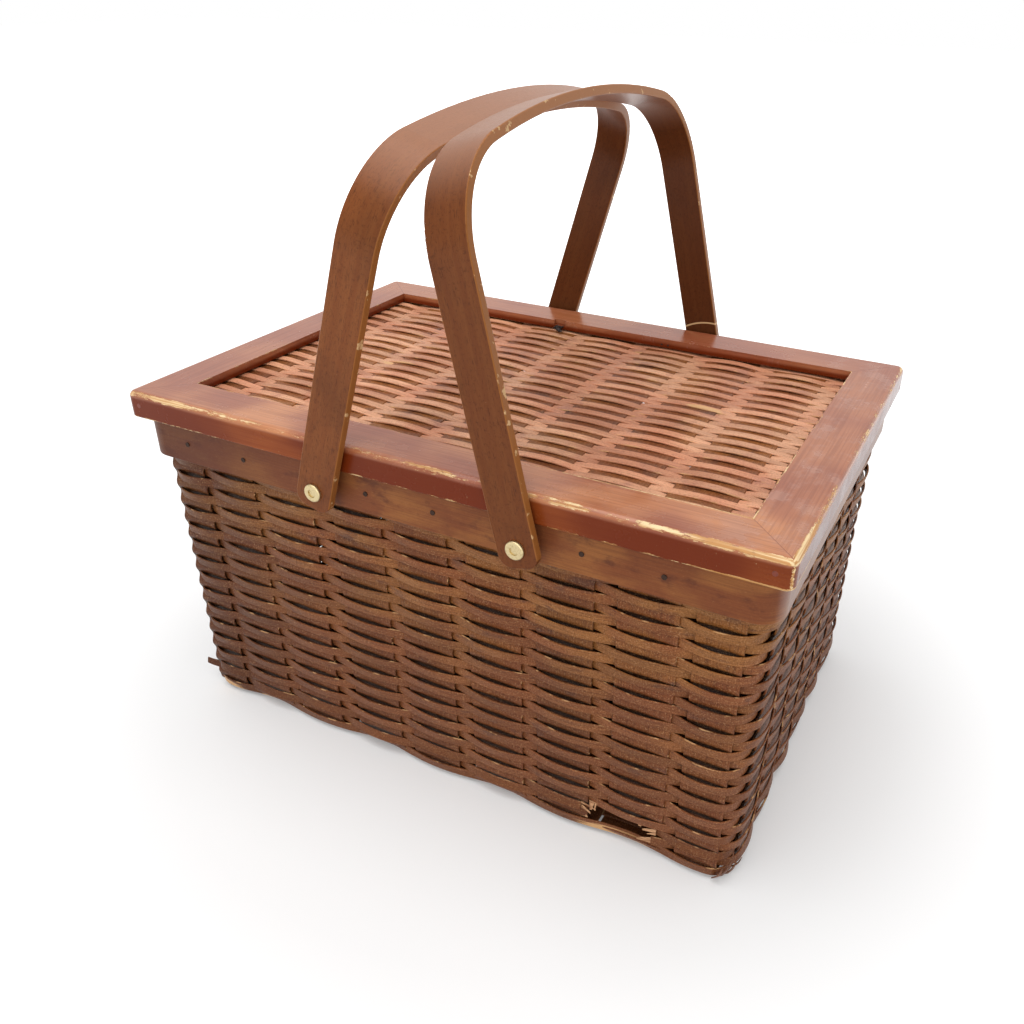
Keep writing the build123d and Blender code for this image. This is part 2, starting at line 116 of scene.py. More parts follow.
class Signal:
    """A number in a node tree, so that the sums of a pattern can be written as sums."""

    def __init__(self, tree: "Tree", socket: bpy.types.NodeSocket) -> None:
        """Hold a socket and the tree that it is in."""
        self.tree, self.socket = tree, socket

    def __add__(self, other: "Signal | float") -> "Signal":
        """Return the sum."""
        return self.tree.math("ADD", self, other)

    def __sub__(self, other: "Signal | float") -> "Signal":
        """Return the difference."""
        return self.tree.math("SUBTRACT", self, other)

    def __rsub__(self, other: float) -> "Signal":
        """Return the difference from a plain number."""
        return self.tree.math("SUBTRACT", other, self)

    def __mul__(self, other: "Signal | float") -> "Signal":
        """Return the product."""
        return self.tree.math("MULTIPLY", self, other)

    def __truediv__(self, other: float) -> "Signal":
        """Return the quotient."""
        return self.tree.math("DIVIDE", self, other)

    def __mod__(self, other: float) -> "Signal":
        """Return the remainder."""
        return self.tree.math("MODULO", self, other)

    def __abs__(self) -> "Signal":
        """Return the number without its sign."""
        return self.tree.math("ABSOLUTE", self)

    def __gt__(self, other: "Signal | float") -> "Signal":
        """Return 1 where it is the greater, or else 0."""
        return self.tree.math("GREATER_THAN", self, other)

    def __lt__(self, other: "Signal | float") -> "Signal":
        """Return 1 where it is the smaller, or else 0."""
        return self.tree.math("LESS_THAN", self, other)


Number = Signal | float


class Tree:
    """A node tree that starts empty."""

    def __init__(self, tree: bpy.types.NodeTree) -> None:
        """Clear a tree to add nodes to it."""
        self.tree = tree
        tree.nodes.clear()

    def node(self, kind: str, inputs: dict | None = None, **settings) -> bpy.types.Node:
        """Add a node with its settings, values and links.

        Args:
            kind: Blender's name of the node type.
            inputs: Socket name or number to a value, or to what feeds it.
            **settings: Properties of the node itself.

        Returns:
            The new node.
        """
        node = self.tree.nodes.new(kind)
        for name, value in settings.items():
            setattr(node, name, value)
        for key, value in (inputs or {}).items():
            source = value.socket if isinstance(value, Signal) else value
            if isinstance(source, bpy.types.NodeSocket):
                self.tree.links.new(source, node.inputs[key])
            else:
                node.inputs[key].default_value = source
        return node

    def math(self, operation: str, *values: Number) -> Signal:
        """Return the result of one sum."""
        sum_node = self.node("ShaderNodeMath", dict(enumerate(values)), operation=operation)
        return Signal(self, sum_node.outputs[0])

    def largest(self, *values: Number) -> Signal:
        """Return the largest of several numbers."""
        return reduce(lambda one, other: self.math("MAXIMUM", one, other), values)

    def smallest(self, *values: Number) -> Signal:
        """Return the smallest of several numbers."""
        return reduce(lambda one, other: self.math("MINIMUM", one, other), values)

    def vector(self, x: Number, y: Number, z: Number) -> bpy.types.NodeSocket:
        """Return a vector of three numbers."""
        return self.node("ShaderNodeCombineXYZ", {0: x, 1: y, 2: z}).outputs[0]

    def parts(self, vector: bpy.types.NodeSocket) -> list[Signal]:
        """Return the three numbers of a vector."""
        outputs = self.node("ShaderNodeSeparateXYZ", {0: vector}).outputs
        return [Signal(self, socket) for socket in outputs]

    def backdrop_rays(self) -> Signal:
        """Return 1 for rays that show the backdrop: seen, mirrored or through glass."""
        path = self.node("ShaderNodeLightPath").outputs
        return self.largest(path["Is Camera Ray"], path["Is Glossy Ray"], path["Is Transmission Ray"])


class Shading(Tree):
    """The tree of one material, with what its patterns are made of."""

    def __init__(self, name: str) -> None:
        """Start a material with the given name."""
        self.material = bpy.data.materials.new(name)
        self.material.use_nodes = True
        super().__init__(self.material.node_tree)
        self.place = self.node("ShaderNodeTexCoord").outputs["Object"]

    def mix(self, share: Number, low, high) -> bpy.types.NodeSocket:
        """Return the colour that lies the given share of the way from low to high.

        Args:
            share: Share of the second colour, from 0 to 1.
            low: A hex colour or a socket.
            high: A hex colour or a socket.

        Returns:
            The mixed colour.
        """
        low, high = (linear(colour) if isinstance(colour, str) else colour for colour in (low, high))
        return self.node("ShaderNodeMix", {0: share, 6: low, 7: high}, data_type="RGBA").outputs[2]

    def layers(self, colour, *coats: tuple) -> bpy.types.NodeSocket:
        """Lay coats of colour over a colour, one after another.

        Args:
            colour: What lies beneath, as a hex colour or a socket.
            *coats: Pairs of a colour and the share of it that shows.

        Returns:
            The colour of all the coats together.
        """
        return reduce(lambda below, coat: self.mix(coat[1], below, coat[0]), coats, colour)

    def step(self, value: Number, low: float, high: float, most: float = 1.0) -> Signal:
        """Return 0 at low and the most at high, with a smooth rise between."""
        inputs = {"Value": value, "From Min": low, "From Max": high, "To Max": most}
        rise = self.node("ShaderNodeMapRange", inputs, interpolation_type="SMOOTHSTEP")
        return Signal(self, rise.outputs[0])

    def attribute(self, name: str) -> Signal:
        """Return a number that the mesh carries."""
        return Signal(self, self.node("ShaderNodeAttribute", attribute_name=name).outputs["Fac"])

    def scaled(self, vector, sizes_mm: tuple[float, float, float]) -> bpy.types.NodeSocket:
        """Divide a place by real sizes, so that one cell of a pattern is that large."""
        inverse = [1 / (size * MM) for size in sizes_mm]
        return self.node("ShaderNodeVectorMath", {0: vector, 1: inverse}, operation="MULTIPLY").outputs[0]

    def noise_at(self, vector, detail: float = 2.0, roughness: float = 0.5) -> Signal:
        """Return a noise from 0 to 1, of about one cell per unit of the vector."""
        inputs = {"Vector": vector, "Scale": 1.0, "Detail": detail, "Roughness": roughness}
        return Signal(self, self.node("ShaderNodeTexNoise", inputs).outputs["Fac"])

    def noise(self, sizes_mm: tuple, detail: float = 2.0, roughness: float = 0.5) -> Signal:
        """Return a noise from 0 to 1, whose cells have real sizes."""
        return self.noise_at(self.scaled(self.place, sizes_mm), detail, roughness)

    def dot(self, vector, direction: tuple[float, float, float]) -> Signal:
        """Return how far a place lies along a direction."""
        product = self.node("ShaderNodeVectorMath", {0: vector, 1: direction}, operation="DOT_PRODUCT")
        return Signal(self, product.outputs["Value"])

    def away_from(self, place: tuple[float, float, float]) -> bpy.types.NodeSocket:
        """Return the way from a place to the point that is shaded."""
        return self.node("ShaderNodeVectorMath", {0: self.place, 1: place}, operation="SUBTRACT").outputs[0]

    def length(self, vector) -> Signal:
        """Return how long a vector is."""
        measured = self.node("ShaderNodeVectorMath", {0: vector}, operation="LENGTH")
        return Signal(self, measured.outputs["Value"])

    def finish(self, colour, roughness: Number, relief: tuple, **plain: Number) -> bpy.types.Material:
        """Close the tree with a principled shader.

        Args:
            colour: Base colour.
            roughness: Roughness.
            relief: Height of the surface, its depth in millimetres and its strength.
            **plain: Other inputs, with _ for a blank.

        Returns:
            The finished material.
        """
        height, depth_mm, strength = relief
        raised = {"Height": height, "Distance": depth_mm * MM, "Strength": strength}
        bump = self.node("ShaderNodeBump", raised)
        inputs = {"Base Color": colour, "Roughness": roughness, "Normal": bump.outputs[0]}
        inputs |= {key.replace("_", " "): value for key, value in plain.items()}
        shader = self.node("ShaderNodeBsdfPrincipled", inputs)
        self.node("ShaderNodeOutputMaterial", {"Surface": shader.outputs[0]})
        return self.material


@dataclass(frozen=True)
class StainedSplint:
    """Sawn wood splint, brushed with a thin brown lacquer that wore off on the proud edges.

    It gives the eye fine streaks along each splint, cloudy stain from red to golden brown,
    and a soft sheen. Streaks are 0.5 mm wide and 25 mm long, pores 0.8 mm, clouds 45 mm.
    Painted shade darkens the stakes just above each weaver that passes in front of them. Each bare patch is
    a centre and a reach.
    """

    name: str
    shade: str = "#3c1a09"
    body: str = "#824a26"
    golden: str = "#986332"
    violet: str = "#5c392b"
    painted_shade: str = "#1d0d06"
    bare: str = "#d9ab78"
    half_width_mm: float = 3.0
    painted_shade_share: float = 0.9
    golden_from_mm: float = 40.0
    golden_at_mm: float = 180.0
    low_dusk: float = 0.25
    left_dusk: float = 0.6
    worn_share: float = 0.75
    worn_edge_mm: float = 0.45
    patches_mm: tuple = ()

    def material(self) -> bpy.types.Material:
        """Build the material."""
        s = Shading(self.name)
        along, across, tone = s.attribute(ALONG), s.attribute(ACROSS), s.attribute(TONE)
        fibre = s.noise_at(s.vector(along / (25 * MM), across / (0.5 * MM), tone * 37.0), 3.0, 0.6)
        pore = s.noise((0.8, 0.8, 0.8), 2.0, 0.65)
        cloud = s.noise((45, 45, 30), 3.0)
        stain = s.noise((20, 20, 9), 3.0, 0.6)
        x, _, height = s.parts(s.place)
        upper = s.step(height, self.golden_from_mm * MM, self.golden_at_mm * MM)
        low_dusk = (1.0 - upper) * self.low_dusk
        uneven_recess_shade = (stain - 0.5) * 0.8 + s.attribute(RECESS_SHADE)
        colour = s.layers(
            self.body,
            (self.golden, s.step(cloud, 0.4, 0.62) * (upper * 0.85 + 0.1)),
            (self.violet, s.largest(s.step(stain, 0.56, 0.7, 0.7), low_dusk)),
            (self.shade, s.step(x, -50 * MM, -180 * MM, self.left_dusk)),
            (self.shade, s.step(fibre, 0.6, 0.32, 0.45)),
            (self.shade, s.step(pore, 0.53, 0.68, 0.5)),
            # painted shade in the stakes' recesses, just above each weaver in front
            (self.painted_shade, s.step(uneven_recess_shade, 0.3, 0.8, self.painted_shade_share)),
            (self.bare, s.step(pore, 0.46, 0.3, 0.26)),
        )
        own_tone = {"Color": colour, "Value": (tone - 0.5) * 0.3 + 1.0}
        colour = s.node("ShaderNodeHueSaturation", own_tone).outputs[0]
        edge = s.step(abs(across), (self.half_width_mm - self.worn_edge_mm) * MM, self.half_width_mm * MM)
        worn = edge * s.step(s.noise((9, 9, 2.5), 3.0), 0.57, 0.66) * self.worn_share
        for centre, reach in self.patches_mm:
            away = s.scaled(s.away_from([c * MM for c in centre]), reach)
            ragged = s.length(away) + (fibre - 0.5) * 1.4
            worn = s.largest(worn, s.step(ragged, 1.05, 0.85, 0.85))
        relief = fibre * 0.6 + pore * 0.4
        colour = s.mix(worn, colour, self.bare)
        return s.finish(colour, pore * 0.25 + 0.3, (relief, 0.25, 0.5), Specular_IOR_Level=0.2)


@dataclass(frozen=True)
class LacqueredRail:
    """Planed softwood rail under a worn red-brown lacquer.

    It gives the eye a glossy coat with faint grain lines 1.2 mm apart, a painted pinkish sheen
    of reflected light on the tops, a cloudy orange painted stronger on the front rail as a
    highlight, a side painted deep red as shade with orange glare painted on the front side,
    and pale chips, 1 to 4 mm wide, where the lacquer broke away from the arrises. The front
    arris took blows at both ends, and the front right corner the most.
    """

    name: str
    grain: Grain
    lacquer: str = "#9c573a"
    deep: str = "#6b2608"
    ember: str = "#93481b"
    orange_and_highlight: str = "#cd8858"
    painted_sheen: str = "#bb9182"
    bare: str = "#ecd0a0"
    tan: str = "#c0894f"
    inner_arris_mm: float = 28.4

    def lengthwise(self, along_mm: float, across_mm: float, deep_mm: float) -> tuple[float, float, float]:
        """Return the sizes of a cell that is stretched along the grain."""
        if self.grain is Grain.ALONG_X:
            return (along_mm, across_mm, deep_mm)
        return (across_mm, along_mm, deep_mm)

    def chipped(self, s: Shading, front: Signal, right: Signal) -> Signal:
        """Work out where the lacquer is broken away.

        Args:
            s: The material's tree.
            front: 1 along the front of the lid.
            right: 1 at the right end of the lid.

        Returns:
            A number above 0 on bare wood and just below 0 round it.
        """
        low, high = lid_box()
        x, y, z = s.parts(s.place)
        in_x, in_y = high.x - abs(x), high.y - abs(y)
        below, above = high.z - z, z - low.z
        chip = s.noise(self.lengthwise(7, 1.8, 1.5), 7.0, 0.8)
        stretch = s.noise((32, 32, 32), 2.0)
        near_corner = s.step(in_x + in_y, 75 * MM, 0.0) * (front * right)
        top_arris = s.smallest(s.largest(in_x, below), s.largest(in_y, below))
        near_top = s.step(top_arris, 5.2 * MM, 1.3 * MM)
        near_upright = s.step(s.largest(in_x, in_y), 4.2 * MM, 1.0 * MM, 0.85)
        foot_arris = s.largest(s.smallest(in_x, in_y), above)
        near_foot = s.step(foot_arris, 2.6 * MM, 0.8 * MM) * (near_corner * 0.35 + 0.8)
        inward = in_y if self.grain is Grain.ALONG_X else in_x
        inner_arris = s.largest(abs(inward - self.inner_arris_mm * MM), below)
        near_inside = s.step(inner_arris, 1.5 * MM, 0.3 * MM) * (right * 0.16 + 0.86)
        near = s.largest(near_top, near_upright, near_foot, near_inside)
        left_blow, right_blow = s.step(x, -108 * MM, -128 * MM), s.step(x, -10 * MM, 60 * MM)
        amount = s.largest(left_blow, right_blow) * front * 0.09 + 0.355
        amount = amount + s.largest(front, right * 0.55) * 0.05
        amount = amount + near_corner * 0.15 + (stretch - 0.5) * 0.6
        return amount * near - chip + 0.06

    def material(self) -> bpy.types.Material:
        """Build the material."""
        s = Shading(self.name)
        high = lid_box()[1]
        x, y, z = s.parts(s.place)
        in_x, in_y = high.x - abs(x), high.y - abs(y)
        front, right = s.step(y, -60 * MM, -110 * MM), s.step(x, 140 * MM, 180 * MM)
        side = s.step(high.z - z, 1.5 * MM, 4.5 * MM)
        grain = s.noise(self.lengthwise(60, 1.2, 1.2), 3.0, 0.6)
        cloud = s.noise((75, 75, 75), 2.0)
        haze = s.noise((22, 22, 22), 4.0, 0.65)
        dust = s.noise((1.3, 1.3, 1.3), 3.0, 0.7)
        chips = self.chipped(s, front, right)
        bare = s.step(chips, 0.0, 0.012)
        # painted shade: the side faces get a deeper red than the top of the same lacquer, with ember patches
        # painted as orange glare on the front side
        shaded_side_colour = s.mix(s.step(cloud, 0.45, 0.7) * front, self.deep, self.ember)
        wood_colour = s.mix(s.step(grain, 0.4, 0.6), self.tan, self.bare)
        colour = s.layers(
            self.lacquer,
            # the lacquer's orange tone, painted stronger on the front rail as a highlight of reflected light
            (self.orange_and_highlight, s.step(cloud, 0.38, 0.62) * (front * 0.55 + 0.35)),
            (shaded_side_colour, side * 0.95),
            # painted sheen: a pinkish veil of reflected light on the tops, more on the right rail
            (self.painted_sheen, s.step(haze, 0.45, 0.65) * (right * 0.3 + 0.12) * (1.0 - side)),
            (self.deep, s.step(grain, 0.6, 0.38, 0.3)),
            (self.deep, s.step(abs(in_x - in_y), 0.5 * MM, 0.15 * MM, 0.6)),
            (self.tan, s.step(chips, -0.04, 0.0, 0.5)),
            (wood_colour, bare),
            (self.bare, s.step(dust, 0.69, 0.77, 0.4)),
        )
        roughness = haze * 0.3 + bare * 0.4 + 0.1
        gleam = s.step(in_x, 2.0 * MM, 0.2 * MM) * 0.35 - side * 0.42 + 0.55
        return s.finish(colour, roughness, (grain * 0.2 - bare, 0.2, 0.5), Specular_IOR_Level=gleam)


@dataclass(frozen=True)
class BandWood:
    """Thin bent ash band with a thin golden-brown stain, rubbed and blotched.

    It gives the eye a dry, slightly mottled surface with long faint grain lines 0.9 mm apart,
    chips along its upper edge and a shine where its right end is rubbed.
    """

    name: str
    stain: str = "#7c4527"
    golden: str = "#935c32"
    dark: str = "#512a1d"
    rubbed: str = "#b98a5e"
    bare: str = "#d8b183"

    def material(self) -> bpy.types.Material:
        """Build the material."""
        s = Shading(self.name)
        end, _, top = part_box("outer_rim_band")[1]
        x, _, z = s.parts(s.place)
        grain = s.noise((45, 45, 0.9), 4.0, 0.6)
        cloud = s.noise((35, 35, 16), 3.0)
        blot = s.noise((16, 16, 9), 4.0, 0.6)
        pore = s.noise((1.2, 1.2, 0.7), 3.0, 0.7)
        chip = s.step(s.noise((14, 14, 1.5), 4.0), 0.47, 0.56)
        colour = s.layers(
            self.stain,
            (self.golden, s.step(cloud, 0.4, 0.65)),
            (self.dark, s.step(x, -40 * MM, -180 * MM, 0.75)),
            (self.dark, s.step(blot, 0.55, 0.72, 0.7)),
            (self.dark, s.step(grain, 0.6, 0.35, 0.3)),
            (self.dark, s.step(pore, 0.55, 0.75, 0.3)),
            (self.rubbed, s.step(pore, 0.4, 0.25, 0.2)),
            (self.bare, s.step(top - z, 1.4 * MM, 0.5 * MM, 0.7) * chip),
        )
        shine = s.step(x, end - 4 * MM, end - 1 * MM)
        roughness = pore * 0.25 + 0.32 - shine * 0.12
        relief = grain * 0.4 + pore * 0.5
        return s.finish(colour, roughness, (relief, 0.2, 0.5), Specular_IOR_Level=shine * 0.4 + 0.15)


@dataclass(frozen=True)
class BentHandleWood:
    """Steam-bent hardwood strip with a brown stain, rubbed lighter along its edges.

    It gives the eye straight pores along the strip, 0.4 mm wide and 5 mm long, a satin
    sheen on the crown that is partly painted into its colour with some dust, painted shade on
    the back legs and a lighter, orange edge face. A pale crack arches across the back leg
    where crack_rise_mm says; the default lies beyond the strip, so there is none.
    """

    name: str
    pivot: tuple[float, float, float]
    lean: float
    stain: str = "#7b4422"
    light: str = "#8a532c"
    dark: str = "#3d1f10"
    dust_and_sheen: str = "#bb8c72"
    edge: str = "#a86c35"
    bare: str = "#dcb887"
    half_width_mm: float = 11.2
    crown_mm: float = 196.5
    crack_rise_mm: float = 500.0
    crack_arch: float = 14.0

    def material(self) -> bpy.types.Material:
        """Build the material."""
        s = Shading(self.name)
        from_pivot, y = s.away_from(self.pivot), s.parts(s.place)[1]
        rise = s.dot(from_pivot, (math.sin(self.lean), 0.0, math.cos(self.lean)))
        aside = s.dot(from_pivot, (math.cos(self.lean), 0.0, -math.sin(self.lean)))
        run = s.math("SIGN", y) * (self.crown_mm * MM - rise) + y
        depth = abs(y) + rise
        fibre = s.noise_at(s.vector(run / (5 * MM), aside / (0.4 * MM), depth / (40 * MM)), 2.0, 0.6)
        band = s.noise_at(s.vector(run / (90 * MM), aside / (4 * MM), 0.0), 3.0)
        scratch = s.noise_at(s.vector(run / (5 * MM), aside / (9 * MM), 3.0), 6.0)
        cloud = s.noise((40, 40, 40), 3.0)
        mottle = s.noise((1.6, 1.6, 1.6), 3.0, 0.7)
        rub = s.noise((4, 9, 9), 4.0, 0.65)
        off_edge = self.half_width_mm * MM - abs(aside)
        from_crack = abs(aside * aside * self.crack_arch + rise - self.crack_rise_mm * MM)
        colour = s.layers(
            self.stain,
            (self.light, s.step(band, 0.35, 0.7, 0.5)),
            (self.dark, s.step(cloud, 0.48, 0.72, 0.3)),
            (self.dark, s.step(fibre, 0.55, 0.7, 0.6)),
            (self.dark, s.step(mottle, 0.52, 0.7, 0.4)),
            # painted shade on the back legs
            (self.dark, s.step(y, 40 * MM, 115 * MM, 0.55)),
            # painted sheen of reflected light on the crown, partly dust
            (self.dust_and_sheen, s.step(rise, 160 * MM, 192 * MM, 0.55)),
            (self.edge, s.step(off_edge, 0.7 * MM, 0.25 * MM, 0.6)),
            (self.bare, s.step(s.step(off_edge, 1.1 * MM, 0.2 * MM) * rub, 0.61, 0.66, 0.8)),
            (self.bare, s.step(scratch, 0.75, 0.77, 0.5)),
            (self.bare, s.step(from_crack, 0.7 * MM, 0.4 * MM, 0.85) * (y > 0.0)),
        )
        return s.finish(colour, mottle * 0.2 + 0.22, (fibre, 0.15, 0.5), Specular_IOR_Level=0.12)


@dataclass(frozen=True)
class PlainWood:
    """Unplaned softwood under one thin coat, for what only shows with the lid open.

    It gives the eye a dull surface with grain lines 1.1 mm apart.
    """

    name: str
    coat: str = "#8d5635"
    dark: str = "#59331f"
    roughness: float = 0.6

    def material(self) -> bpy.types.Material:
        """Build the material."""
        s = Shading(self.name)
        grain = s.noise((14, 14, 1.1), 4.0, 0.6)
        colour = s.mix(s.step(grain, 0.62, 0.35), self.coat, self.dark)
        return s.finish(colour, self.roughness, (grain, 0.2, 0.5))


@dataclass(frozen=True)
class TornWood:
    """Fresh broken splint, raw and pale, with fibres 0.4 mm wide along the splint."""

    name: str
    pale: str = "#cf9f74"
    tan: str = "#8a5a38"
    roughness: float = 0.75

    def material(self) -> bpy.types.Material:
        """Build the material."""
        s = Shading(self.name)
        fibre = s.noise((5, 5, 0.4), 3.0)
        cloud = s.noise((5, 5, 5), 2.0)
        colour = s.layers(
            self.tan, (self.pale, s.step(fibre, 0.35, 0.65)), (self.tan, s.step(cloud, 0.55, 0.7, 0.5))
        )
        return s.finish(colour, self.roughness, (fibre, 0.2, 0.6))


@dataclass(frozen=True)
class AgedMetal:
    """Metal that dulled in use: rivets of brass plate, dark iron nails, rusted wire.

    It gives the eye a soft shine under blots of grime of about 1 mm.
    """

    name: str
    metal: str
    grime: str
    metallic: float = 1.0
    least_roughness: float = 0.5
    grime_share: float = 0.75

    def material(self) -> bpy.types.Material:
        """Build the material."""
        s = Shading(self.name)
        spots = s.noise((1, 1, 1), 4.0, 0.6)
        fine = s.noise((0.3, 0.3, 0.3), 2.0)
        colour = s.mix(s.step(spots, 0.5, 0.68, self.grime_share), self.metal, self.grime)
        roughness = spots * 0.3 + self.least_roughness
        return s.finish(colour, roughness, (fine, 0.05, 0.4), Metallic=self.metallic)


def lid_box() -> tuple[Vector, Vector]:
    """Return the lowest and highest corner of the lid's four rails."""
    corners = [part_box(f"{side}_lid_rail") for side in ("front", "back", "left", "right")]
    low = Vector([min(pair[0][i] for pair in corners) for i in range(3)])
    high = Vector([max(pair[1][i] for pair in corners) for i in range(3)])
    return low, high


def dress(material: bpy.types.Material, *nodes: str) -> None:
    """Give CAD nodes their finish.

    Args:
        material: The finish.
        *nodes: Names of the nodes.
    """
    for node in nodes:
        piece = frame["nodes"][node]
        if not piece.material_slots:
            piece.data.materials.append(material)
        for slot in piece.material_slots:
            slot.material = material


def set_numbers(mesh: bpy.types.Mesh, name: str, values: np.ndarray) -> None:
    """Store one number for each vertex of a mesh under a name."""
    numbers = mesh.attributes.new(name, "FLOAT", "POINT").data
    numbers.foreach_set("value", values.astype(np.float32).ravel())


def unit(vectors: np.ndarray) -> np.ndarray:
    """Return each vector at a length of 1."""
    return vectors / np.linalg.norm(vectors, axis=-1, keepdims=True)


def run_along(path: np.ndarray) -> np.ndarray:
    """Return how far along a path each of its points lies."""
    steps = np.linalg.norm(np.diff(path, axis=0), axis=1)
    return np.concatenate([[0.0], np.cumsum(steps)])


def tube_faces(rings: int, count: int) -> list[list[int]]:
    """Join rings of corners into a closed tube.

    Args:
        rings: Number of rings.
        count: Number of corners in each.

    Returns:
        The side faces and the two ends.
    """
    faces = []
    for ring in range(rings - 1):
        for corner in range(count):
            a, b = ring * count + corner, ring * count + (corner + 1) % count
            faces.append([a, a + count, b + count, b])
    faces.append(list(range(count)))
    faces.append([(rings - 1) * count + corner for corner in reversed(range(count))])
    return faces


@dataclass
class Sweep:
    """A closed splint or wire, with the numbers that its finish follows."""

    points: np.ndarray
    faces: list
    along: np.ndarray
    across: np.ndarray
    tone: float
    pool: np.ndarray | None = None

    def tapered(self, path: np.ndarray, end_share: float) -> "Sweep":
        """Draw it in towards the end of its path.

        Args:
            path: The points that it was swept along.
            end_share: Share of its section that is left at the end.

        Returns:
            The same sweep with its points moved.
        """
        count = len(self.points) // len(path)
        shares = np.repeat(np.linspace(1.0, end_share, len(path)), count)[:, None]
        middles = np.repeat(path, count, axis=0)
        self.points = middles + (self.points - middles) * shares
        return self


def finished_object(name: str, mesh: bpy.types.Mesh, material: bpy.types.Material) -> bpy.types.Object:
    """Put a mesh in the scene, smooth along its run and crisp at its edges."""
    mesh.materials.clear()
    mesh.materials.append(material)
    mesh.polygons.foreach_set("use_smooth", [True] * len(mesh.polygons))
    mesh.set_sharp_from_angle(angle=math.radians(SHARP_DEGREES))
    mesh.update()
    piece = bpy.data.objects.new(name, mesh)
    bpy.context.scene.collection.objects.link(piece)
    return piece


def join_strips(name: str, strips: list[Sweep], material: bpy.types.Material) -> bpy.types.Object:
    """Make one object of several closed strips.

    Args:
        name: Name of the object.
        strips: The strips.
        material: Finish of all of them.

    Returns:
        The new object.
    """
    faces, numbers, base = [], {ALONG: [], ACROSS: [], TONE: [], RECESS_SHADE: []}, 0
    for one in strips:
        faces += [[base + corner for corner in face] for face in one.faces]
        count = len(one.points)
        base += count
        numbers[ALONG].append(one.along)
        numbers[ACROSS].append(one.across)
        numbers[TONE].append(np.full(count, one.tone))
        numbers[RECESS_SHADE].append(np.zeros(count) if one.pool is None else one.pool)
    mesh = bpy.data.meshes.new(name)
    mesh.from_pydata(np.concatenate([one.points for one in strips]).tolist(), [], faces)
    for key, lists in numbers.items():
        set_numbers(mesh, key, np.concatenate(lists))
    return finished_object(name, mesh, material)


def strip(
    path: np.ndarray,
    side: np.ndarray,
    width: float,
    thickness: float,
    tone: float,
    bevel: float = 0.3 * MM,
    spread: np.ndarray | None = None,
    pool: np.ndarray | None = None,
) -> Sweep:
    """Sweep a flat splint along a path.

    Args:
        path: Points of its middle line.
        side: Direction of its width, the same all along.
        width: Width across.
        thickness: Thickness.
        tone: Its own tone, from 0 to 1.
        bevel: Size of its broken edges.
        spread: Share of its width at each point of the path, if it isn't the same all along.
        pool: How much painted shade lies at each point of the path.

    Returns:
        The strip.
    """
    half, deep = width / 2, thickness / 2
    columns = [-half, -half + bevel, -half / 2, 0.0, half / 2, half - bevel, half]
    top = [(u, deep if abs(u) < half else deep - bevel) for u in columns]
    bottom = [(u, -deep if abs(u) < half else bevel - deep) for u in reversed(columns)]
    outline = np.array(top + bottom)
    normal = unit(np.cross(unit(np.gradient(path, axis=0)), side))
    shares = np.ones(len(path)) if spread is None else spread
    across = outline[None, :, 0:1] * side[None, None, :] * shares[:, None, None]
    out = outline[None, :, 1:2] * normal[:, None, :]
    points = (path[:, None, :] + across + out).reshape(-1, 3)
    rings, count = len(path), len(outline)
    along = np.repeat(run_along(path), count)
    painted_shade = None if pool is None else np.repeat(pool, count)
    return Sweep(points, tube_faces(rings, count), along, np.tile(outline[:, 0], rings), tone, painted_shade)


def wire(path: np.ndarray, radius: float, sides: int = 8) -> Sweep:
    """Sweep a round wire along a path.

    Args:
        path: Points of its middle line.
        radius: Its radius.
        sides: Number of sides of its section.

    Returns:
        The wire, with a tone of a half.
    """
    tangent = unit(np.gradient(path, axis=0))
    off_axis = np.array([0.3, 0.2, 0.93])
    first = unit(np.cross(tangent, off_axis))
    second = np.cross(tangent, first)
    turns = np.linspace(0, 2 * math.pi, sides, endpoint=False)[None, :, None]
    ring = np.cos(turns) * first[:, None, :] + np.sin(turns) * second[:, None, :]
    points = (path[:, None, :] + radius * ring).reshape(-1, 3)
    faces = []
    for i in range(len(path) - 1):
        for corner in range(sides):
            after = (corner + 1) % sides
            a, b = i * sides + corner, i * sides + after
            faces.append([a, b, b + sides, a + sides])
    faces.append(list(reversed(range(sides))))
    faces.append([(len(path) - 1) * sides + corner for corner in range(sides)])
    zeros = np.zeros(len(points))
    return Sweep(points, faces, zeros, zeros, 0.5)


def outward_faces(mesh: bpy.types.Mesh) -> None:
    """Turn a closed mesh's faces to point out, if they point in."""
    mesh.calc_loop_triangles()
    points = np.zeros(len(mesh.vertices) * 3)
    mesh.vertices.foreach_get("co", points)
    corners = np.zeros(len(mesh.loop_triangles) * 3, int)
    mesh.loop_triangles.foreach_get("vertices", corners)
    triangles = points.reshape(-1, 3)[corners.reshape(-1, 3)]
    volume = np.einsum("ij,ij->i", triangles[:, 0], np.cross(triangles[:, 1], triangles[:, 2])).sum()
    if volume < 0:
        mesh.flip_normals()


